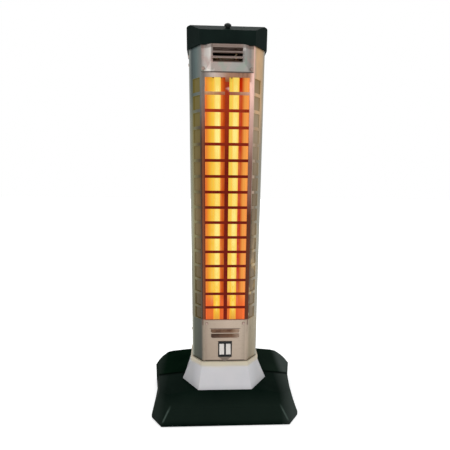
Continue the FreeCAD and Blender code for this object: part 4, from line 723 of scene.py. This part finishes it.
def unglazed_ceramic(name, dark, light):
    n = Nodes(name)
    speck = n.spread(n.cells(700.0), 0.0, 0.5)
    cloud = n.noise(60.0)
    n.set(Base_Color=n.mix(n.times(speck, cloud), dark, light))
    n.set(Roughness=n.spread(cloud, 0.3, 0.7, 0.62, 0.82), Subsurface_Weight=0.05)
    n.bump(speck, 0.2, 0.00008)
    return n.material


def woven_sleeve(name):
    """Glass-fibre sleeving: a fine crossed weave on each lead."""
    n = Nodes(name)
    waves = []
    for turn in (1, -1):
        mapping = n.tree.nodes.new("ShaderNodeMapping")
        mapping.inputs["Rotation"].default_value = (0.6 * turn, 0.8 * turn, 0.7)
        n.link(n.place, mapping.inputs["Vector"])
        wave = n.tree.nodes.new("ShaderNodeTexWave")
        wave.inputs["Scale"].default_value = 420.0
        n.link(mapping.outputs[0], wave.inputs["Vector"])
        waves.append(wave.outputs["Fac"])
    weave = n.most(*waves)
    n.set(Base_Color=n.mix(weave, srgb(188, 180, 158), srgb(236, 230, 212)))
    n.set(Roughness=n.spread(weave, 0, 1, 0.85, 0.7))
    n.bump(weave, 0.3, 0.0001)
    return n.material


def rubber(name):
    n = Nodes(name)
    dust = n.spread(n.noise(300.0, detail=6.0), 0.5, 0.8)
    n.set(Base_Color=n.mix(dust, srgb(24, 24, 24), srgb(60, 58, 54)))
    n.set(Roughness=n.spread(dust, 0, 1, 0.7, 0.95))
    n.bump(dust, 0.3, 0.0001)
    return n.material


# The materials of the record's slots, then those of single pieces
MATERIALS = {
    "black_plastic": moulded_plastic(
        "black_plastic", srgb(10, 19, 17), srgb(17, 28, 25), (0.56, 0.74), specular=0.03
    ),
    "black_gloss": moulded_plastic(
        "black_gloss", srgb(2, 7, 6), srgb(7, 14, 12), (0.36, 0.5), specular=0.1
    ),
    "white_plastic": collar_plastic("white_plastic"),
    "painted_sheet": shell_steel("painted_sheet"),
    "panel_steel": control_sheet("panel_steel"),
    "zinc_sheet": brushed_metal("zinc_sheet", srgb(176, 178, 176), 0.8, (0.32, 0.5), "x"),
    "screw_steel": brushed_metal("screw_steel", srgb(150, 130, 120), 0.9, (0.2, 0.4), "z"),
    "switch_black": moulded_plastic(
        "switch_black", srgb(10, 10, 10), srgb(24, 24, 24), (0.3, 0.46), 1500.0, specular=0.2
    ),
    "rocker_grey": moulded_plastic(
        "rocker_grey", srgb(200, 193, 186), srgb(222, 216, 210), (0.2, 0.34), 1500.0, 0.12, 0.15
    ),
    "brass": brushed_metal("brass", srgb(206, 172, 100), 0.95, (0.22, 0.4), "x"),
    "quartz": glowing_quartz("quartz"),
    "element_wire": hot_coil("element_wire"),
    "ceramic_white": unglazed_ceramic("ceramic_white", srgb(206, 196, 178), srgb(236, 228, 212)),
    "polished_reflector": lit_reflector("polished_reflector"),
    "block_plastic": moulded_plastic(
        "block_plastic", srgb(206, 200, 186), srgb(226, 220, 206), (0.4, 0.6)
    ),
    "lead_sleeve": woven_sleeve("lead_sleeve"),
    "rubber": rubber("rubber"),
}
FRONT_PLASTIC = moulded_plastic(
    "front_plastic",
    srgb(3, 12, 8),
    srgb(9, 20, 15),
    (0.56, 0.74),
    specular=0.006,
    painted_light=front_painted_light,
)
REAR_PLASTIC = moulded_plastic(
    "rear_plastic", srgb(4, 16, 9), srgb(10, 24, 15), (0.56, 0.74), specular=0.0, painted_light=rear_painted_light
)
# A lighter plastic for the bevels' faces: a painted highlight along the moulded edges.
EDGE_HIGHLIGHT = moulded_plastic(
    "edge_highlight", srgb(30, 42, 37), srgb(56, 68, 62), (0.4, 0.6), specular=0.1
)
STAINED_METAL = brushed_metal("stained_metal", srgb(120, 84, 64), 0.3, (0.4, 0.6), "x")
STAINED_CERAMIC = unglazed_ceramic("stained_ceramic", srgb(84, 60, 42), srgb(120, 92, 68))
OWN_MATERIALS = {
    "upper_vent_panel": vent_sheet("vent_sheet"),
    "rear_cover": brushed_metal("rear_sheet", srgb(160, 156, 146), 0.5, (0.26, 0.42), "z"),
    "base_front_half": FRONT_PLASTIC,
    "base_rear_half": REAR_PLASTIC,
    "top_bracket": STAINED_METAL,
    "upper_tube_bracket": STAINED_METAL,
    "upper_terminals": STAINED_METAL,
    "terminal_bridge": STAINED_METAL,
    "upper_cap_left": STAINED_CERAMIC,
    "upper_cap_right": STAINED_CERAMIC,
}
for row in frame["record"]["subparts"]:
    node = NODES[row["node"]]
    material = OWN_MATERIALS.get(row["node"], MATERIALS[row["material_slot"]])
    node.data.materials.clear()
    node.data.materials.append(material)

# Small edge radii on the moulded pieces, for their highlights
SHARPER_THAN = math.radians(30.0)
EDGE_RADII = (
    ("base_front_half", 0.0012, EDGE_HIGHLIGHT),
    ("base_rear_half", 0.0010, EDGE_HIGHLIGHT),
    ("top_cap", 0.0010, EDGE_HIGHLIGHT),
    ("collar", 0.0012, None),
    ("switch_housing", 0.0003, None),
)
for name, width, edge in EDGE_RADII:
    bevel = NODES[name].modifiers.new("edge", "BEVEL")
    # The base halves and the cap take the lighter plastic on their bevels as a painted highlight.
    if edge is not None:
        NODES[name].data.materials.append(edge)
        bevel.material = 1
    bevel.width = width
    bevel.segments = 2
    bevel.limit_method = "ANGLE"
    bevel.angle_limit = SHARPER_THAN
    bevel.harden_normals = False


# The wound elements

WIRE_RADIUS = 0.0004
WIRE_SIDES = 5
TURN_PITCH = 0.0022
TURN_STEPS = 12
TAIL_LENGTH = 0.022
LEAD_IN = 0.002


def tube_mesh(name, points, radius, sides, material):
    """A round wire along points, as a closed mesh."""
    mesh = bmesh.new()
    rings = []
    previous = None
    for index, point in enumerate(points):
        ahead = points[min(index + 1, len(points) - 1)]
        behind = points[max(index - 1, 0)]
        along = (ahead - behind).normalized()
        across = previous if previous is not None else along.orthogonal().normalized()
        across = (across - along * across.dot(along)).normalized()
        up = along.cross(across)
        previous = across
        ring = []
        for side in range(sides):
            angle = math.tau * side / sides
            outward = across * math.cos(angle) + up * math.sin(angle)
            ring.append(mesh.verts.new(point + outward * radius))
        rings.append(ring)
    for lower, upper in zip(rings, rings[1:]):
        for side in range(sides):
            following = (side + 1) % sides
            mesh.faces.new((lower[side], lower[following], upper[following], upper[side]))
    mesh.faces.new(rings[0][::-1])
    mesh.faces.new(rings[-1])
    for face in mesh.faces:
        face.smooth = True
    data = bpy.data.meshes.new(name)
    mesh.to_mesh(data)
    mesh.free()
    piece = bpy.data.objects.new(name, data)
    bpy.context.scene.collection.objects.link(piece)
    data.materials.append(material)
    return piece


def wound_element(side_name):
    """Close turns of wire inside one tube, with a straight tail out of each end."""
    node = f"heating_coil_{side_name}"
    low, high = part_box(node)
    centre_x = (low[0] + high[0]) / 2
    centre_y = (low[1] + high[1]) / 2
    radius = min(high[0] - low[0], high[1] - low[1]) / 2 - WIRE_RADIUS
    start, stop = low[2] + TAIL_LENGTH, high[2] - TAIL_LENGTH
    steps = int((stop - start) / TURN_PITCH) * TURN_STEPS
    points = [Vector((centre_x, centre_y, low[2])), Vector((centre_x, centre_y, start - LEAD_IN))]
    for index in range(steps + 1):
        angle = math.tau * index / TURN_STEPS
        x = centre_x + radius * math.cos(angle)
        y = centre_y + radius * math.sin(angle)
        points.append(Vector((x, y, start + (stop - start) * index / steps)))
    points.append(Vector((centre_x, centre_y, stop + LEAD_IN)))
    points.append(Vector((centre_x, centre_y, high[2])))
    wire = MATERIALS["element_wire"]
    piece = tube_mesh(f"wound_element_{side_name}", points, WIRE_RADIUS, WIRE_SIDES, wire)
    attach(piece, "heater")
    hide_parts(node)


wound_element("left")
wound_element("right")


# Floor and light


def seen_by_eye(tree):
    """One for rays that reach the picture straight, by a mirror or through glass."""
    path = tree.nodes.new("ShaderNodeLightPath")
    seen = path.outputs["Is Camera Ray"]
    for kind in SEEN_THROUGH:
        either = tree.nodes.new("ShaderNodeMath")
        either.operation = "MAXIMUM"
        tree.links.new(seen, either.inputs[0])
        tree.links.new(path.outputs[kind], either.inputs[1])
        seen = either.outputs[0]
    return seen


def stage_floor():
    """A pale floor, which turns to plain white away from the object."""
    mesh = bmesh.new()
    half = 8.0
    corners = [(-half, -half), (half, -half), (half, half), (-half, half)]
    mesh.faces.new([mesh.verts.new((x, y, 0)) for x, y in corners])
    data = bpy.data.meshes.new("studio_floor")
    mesh.to_mesh(data)
    mesh.free()
    floor = bpy.data.objects.new("studio_floor", data)
    bpy.context.scene.collection.objects.link(floor)
    n = Nodes("studio_floor")
    n.set(Base_Color=n.mix(n.noise(3.0), srgb(236, 236, 236), srgb(244, 244, 243)))
    n.set(Roughness=0.8, Specular_IOR_Level=0.1)
    away = n.tree.nodes.new("ShaderNodeVectorMath")
    away.operation = "LENGTH"
    n.link(n.place, away.inputs[0])
    white = n.spread(away.outputs["Value"], 0.2, 0.6, 0.4, 1.0, smooth=True)
    n.set(Emission_Color=(1.0, 1.0, 1.0, 1.0))
    n.set(Emission_Strength=n.times(seen_by_eye(n.tree), white))
    data.materials.append(n.material)


def studio_world():
    """Soft, faintly blue light from all round, and a background that shows as white."""
    world = bpy.data.worlds.new("studio")
    bpy.context.scene.world = world
    world.use_nodes = True
    tree = world.node_tree
    light = tree.nodes["Background"]
    light.inputs["Color"].default_value = (0.96, 0.98, 1.0, 1.0)
    light.inputs["Strength"].default_value = 0.5
    white = tree.nodes.new("ShaderNodeBackground")
    white.inputs["Color"].default_value = (1.0, 1.0, 1.0, 1.0)
    white.inputs["Strength"].default_value = 1.0
    chooser = tree.nodes.new("ShaderNodeMixShader")
    tree.links.new(seen_by_eye(tree), chooser.inputs[0])
    tree.links.new(light.outputs[0], chooser.inputs[1])
    tree.links.new(white.outputs[0], chooser.inputs[2])
    tree.links.new(chooser.outputs[0], tree.nodes["World Output"].inputs["Surface"])


def soft_light(name, place, target, size, power, colour):
    data = bpy.data.lights.new(name, "AREA")
    data.shape = "RECTANGLE"
    data.size, data.size_y = size
    data.energy = power
    data.color = colour
    lamp = bpy.data.objects.new(name, data)
    bpy.context.scene.collection.objects.link(lamp)
    lamp.location = place
    lamp.rotation_mode = "QUATERNION"
    lamp.rotation_quaternion = (Vector(target) - Vector(place)).to_track_quat("-Z", "Y")


stage_floor()
studio_world()
soft_light("key", (-1.5, -2.2, 2.0), (0, 0, 0.3), (1.6, 1.6), 34.0, (1.0, 0.99, 0.97))
soft_light("fill", (1.9, -1.7, 1.3), (0, 0, 0.3), (1.4, 1.4), 20.0, (0.98, 0.99, 1.0))
soft_light("overhead", (0.2, 0.6, 2.6), (0, 0, 0.2), (2.2, 2.2), 26.0, (1.0, 1.0, 1.0))


# The camera, as fitted to the photograph: angles in radians, places in metres, the rest in pixels
YAW, PITCH, ROLL = 0.0459, 0.2375, 0.0088
AWAY, ASIDE, EYE_HEIGHT = 0.662939, -0.000740, 0.417218
FOCAL_PIXELS, CENTRE_X, CENTRE_Y, IMAGE = 365.14, 224.88, 269.14, 450

camera_data = bpy.data.cameras.new("camera")
camera = bpy.data.objects.new("camera", camera_data)
bpy.context.scene.collection.objects.link(camera)
bpy.context.scene.camera = camera
camera_data.sensor_width = 36.0
camera_data.lens = FOCAL_PIXELS / IMAGE * camera_data.sensor_width
camera_data.shift_x = (IMAGE / 2 - CENTRE_X) / IMAGE
camera_data.shift_y = (CENTRE_Y - IMAGE / 2) / IMAGE
camera_data.clip_start = 0.01
across = Vector((math.cos(YAW), -math.sin(YAW), 0))
level = Vector((math.sin(YAW), math.cos(YAW), 0))
onward = level * math.cos(PITCH) - Vector((0, 0, math.sin(PITCH)))
upward = level * math.sin(PITCH) + Vector((0, 0, math.cos(PITCH)))
right = across * math.cos(ROLL) + upward * math.sin(ROLL)
top = upward * math.cos(ROLL) - across * math.sin(ROLL)
position = -across * ASIDE - level * AWAY + Vector((0, 0, EYE_HEIGHT))
camera.matrix_world = Matrix(
    (
        (right.x, top.x, -onward.x, position.x),
        (right.y, top.y, -onward.y, position.y),
        (right.z, top.z, -onward.z, position.z),
        (0, 0, 0, 1),
    )
)
bpy.context.scene.view_settings.view_transform = "Standard"
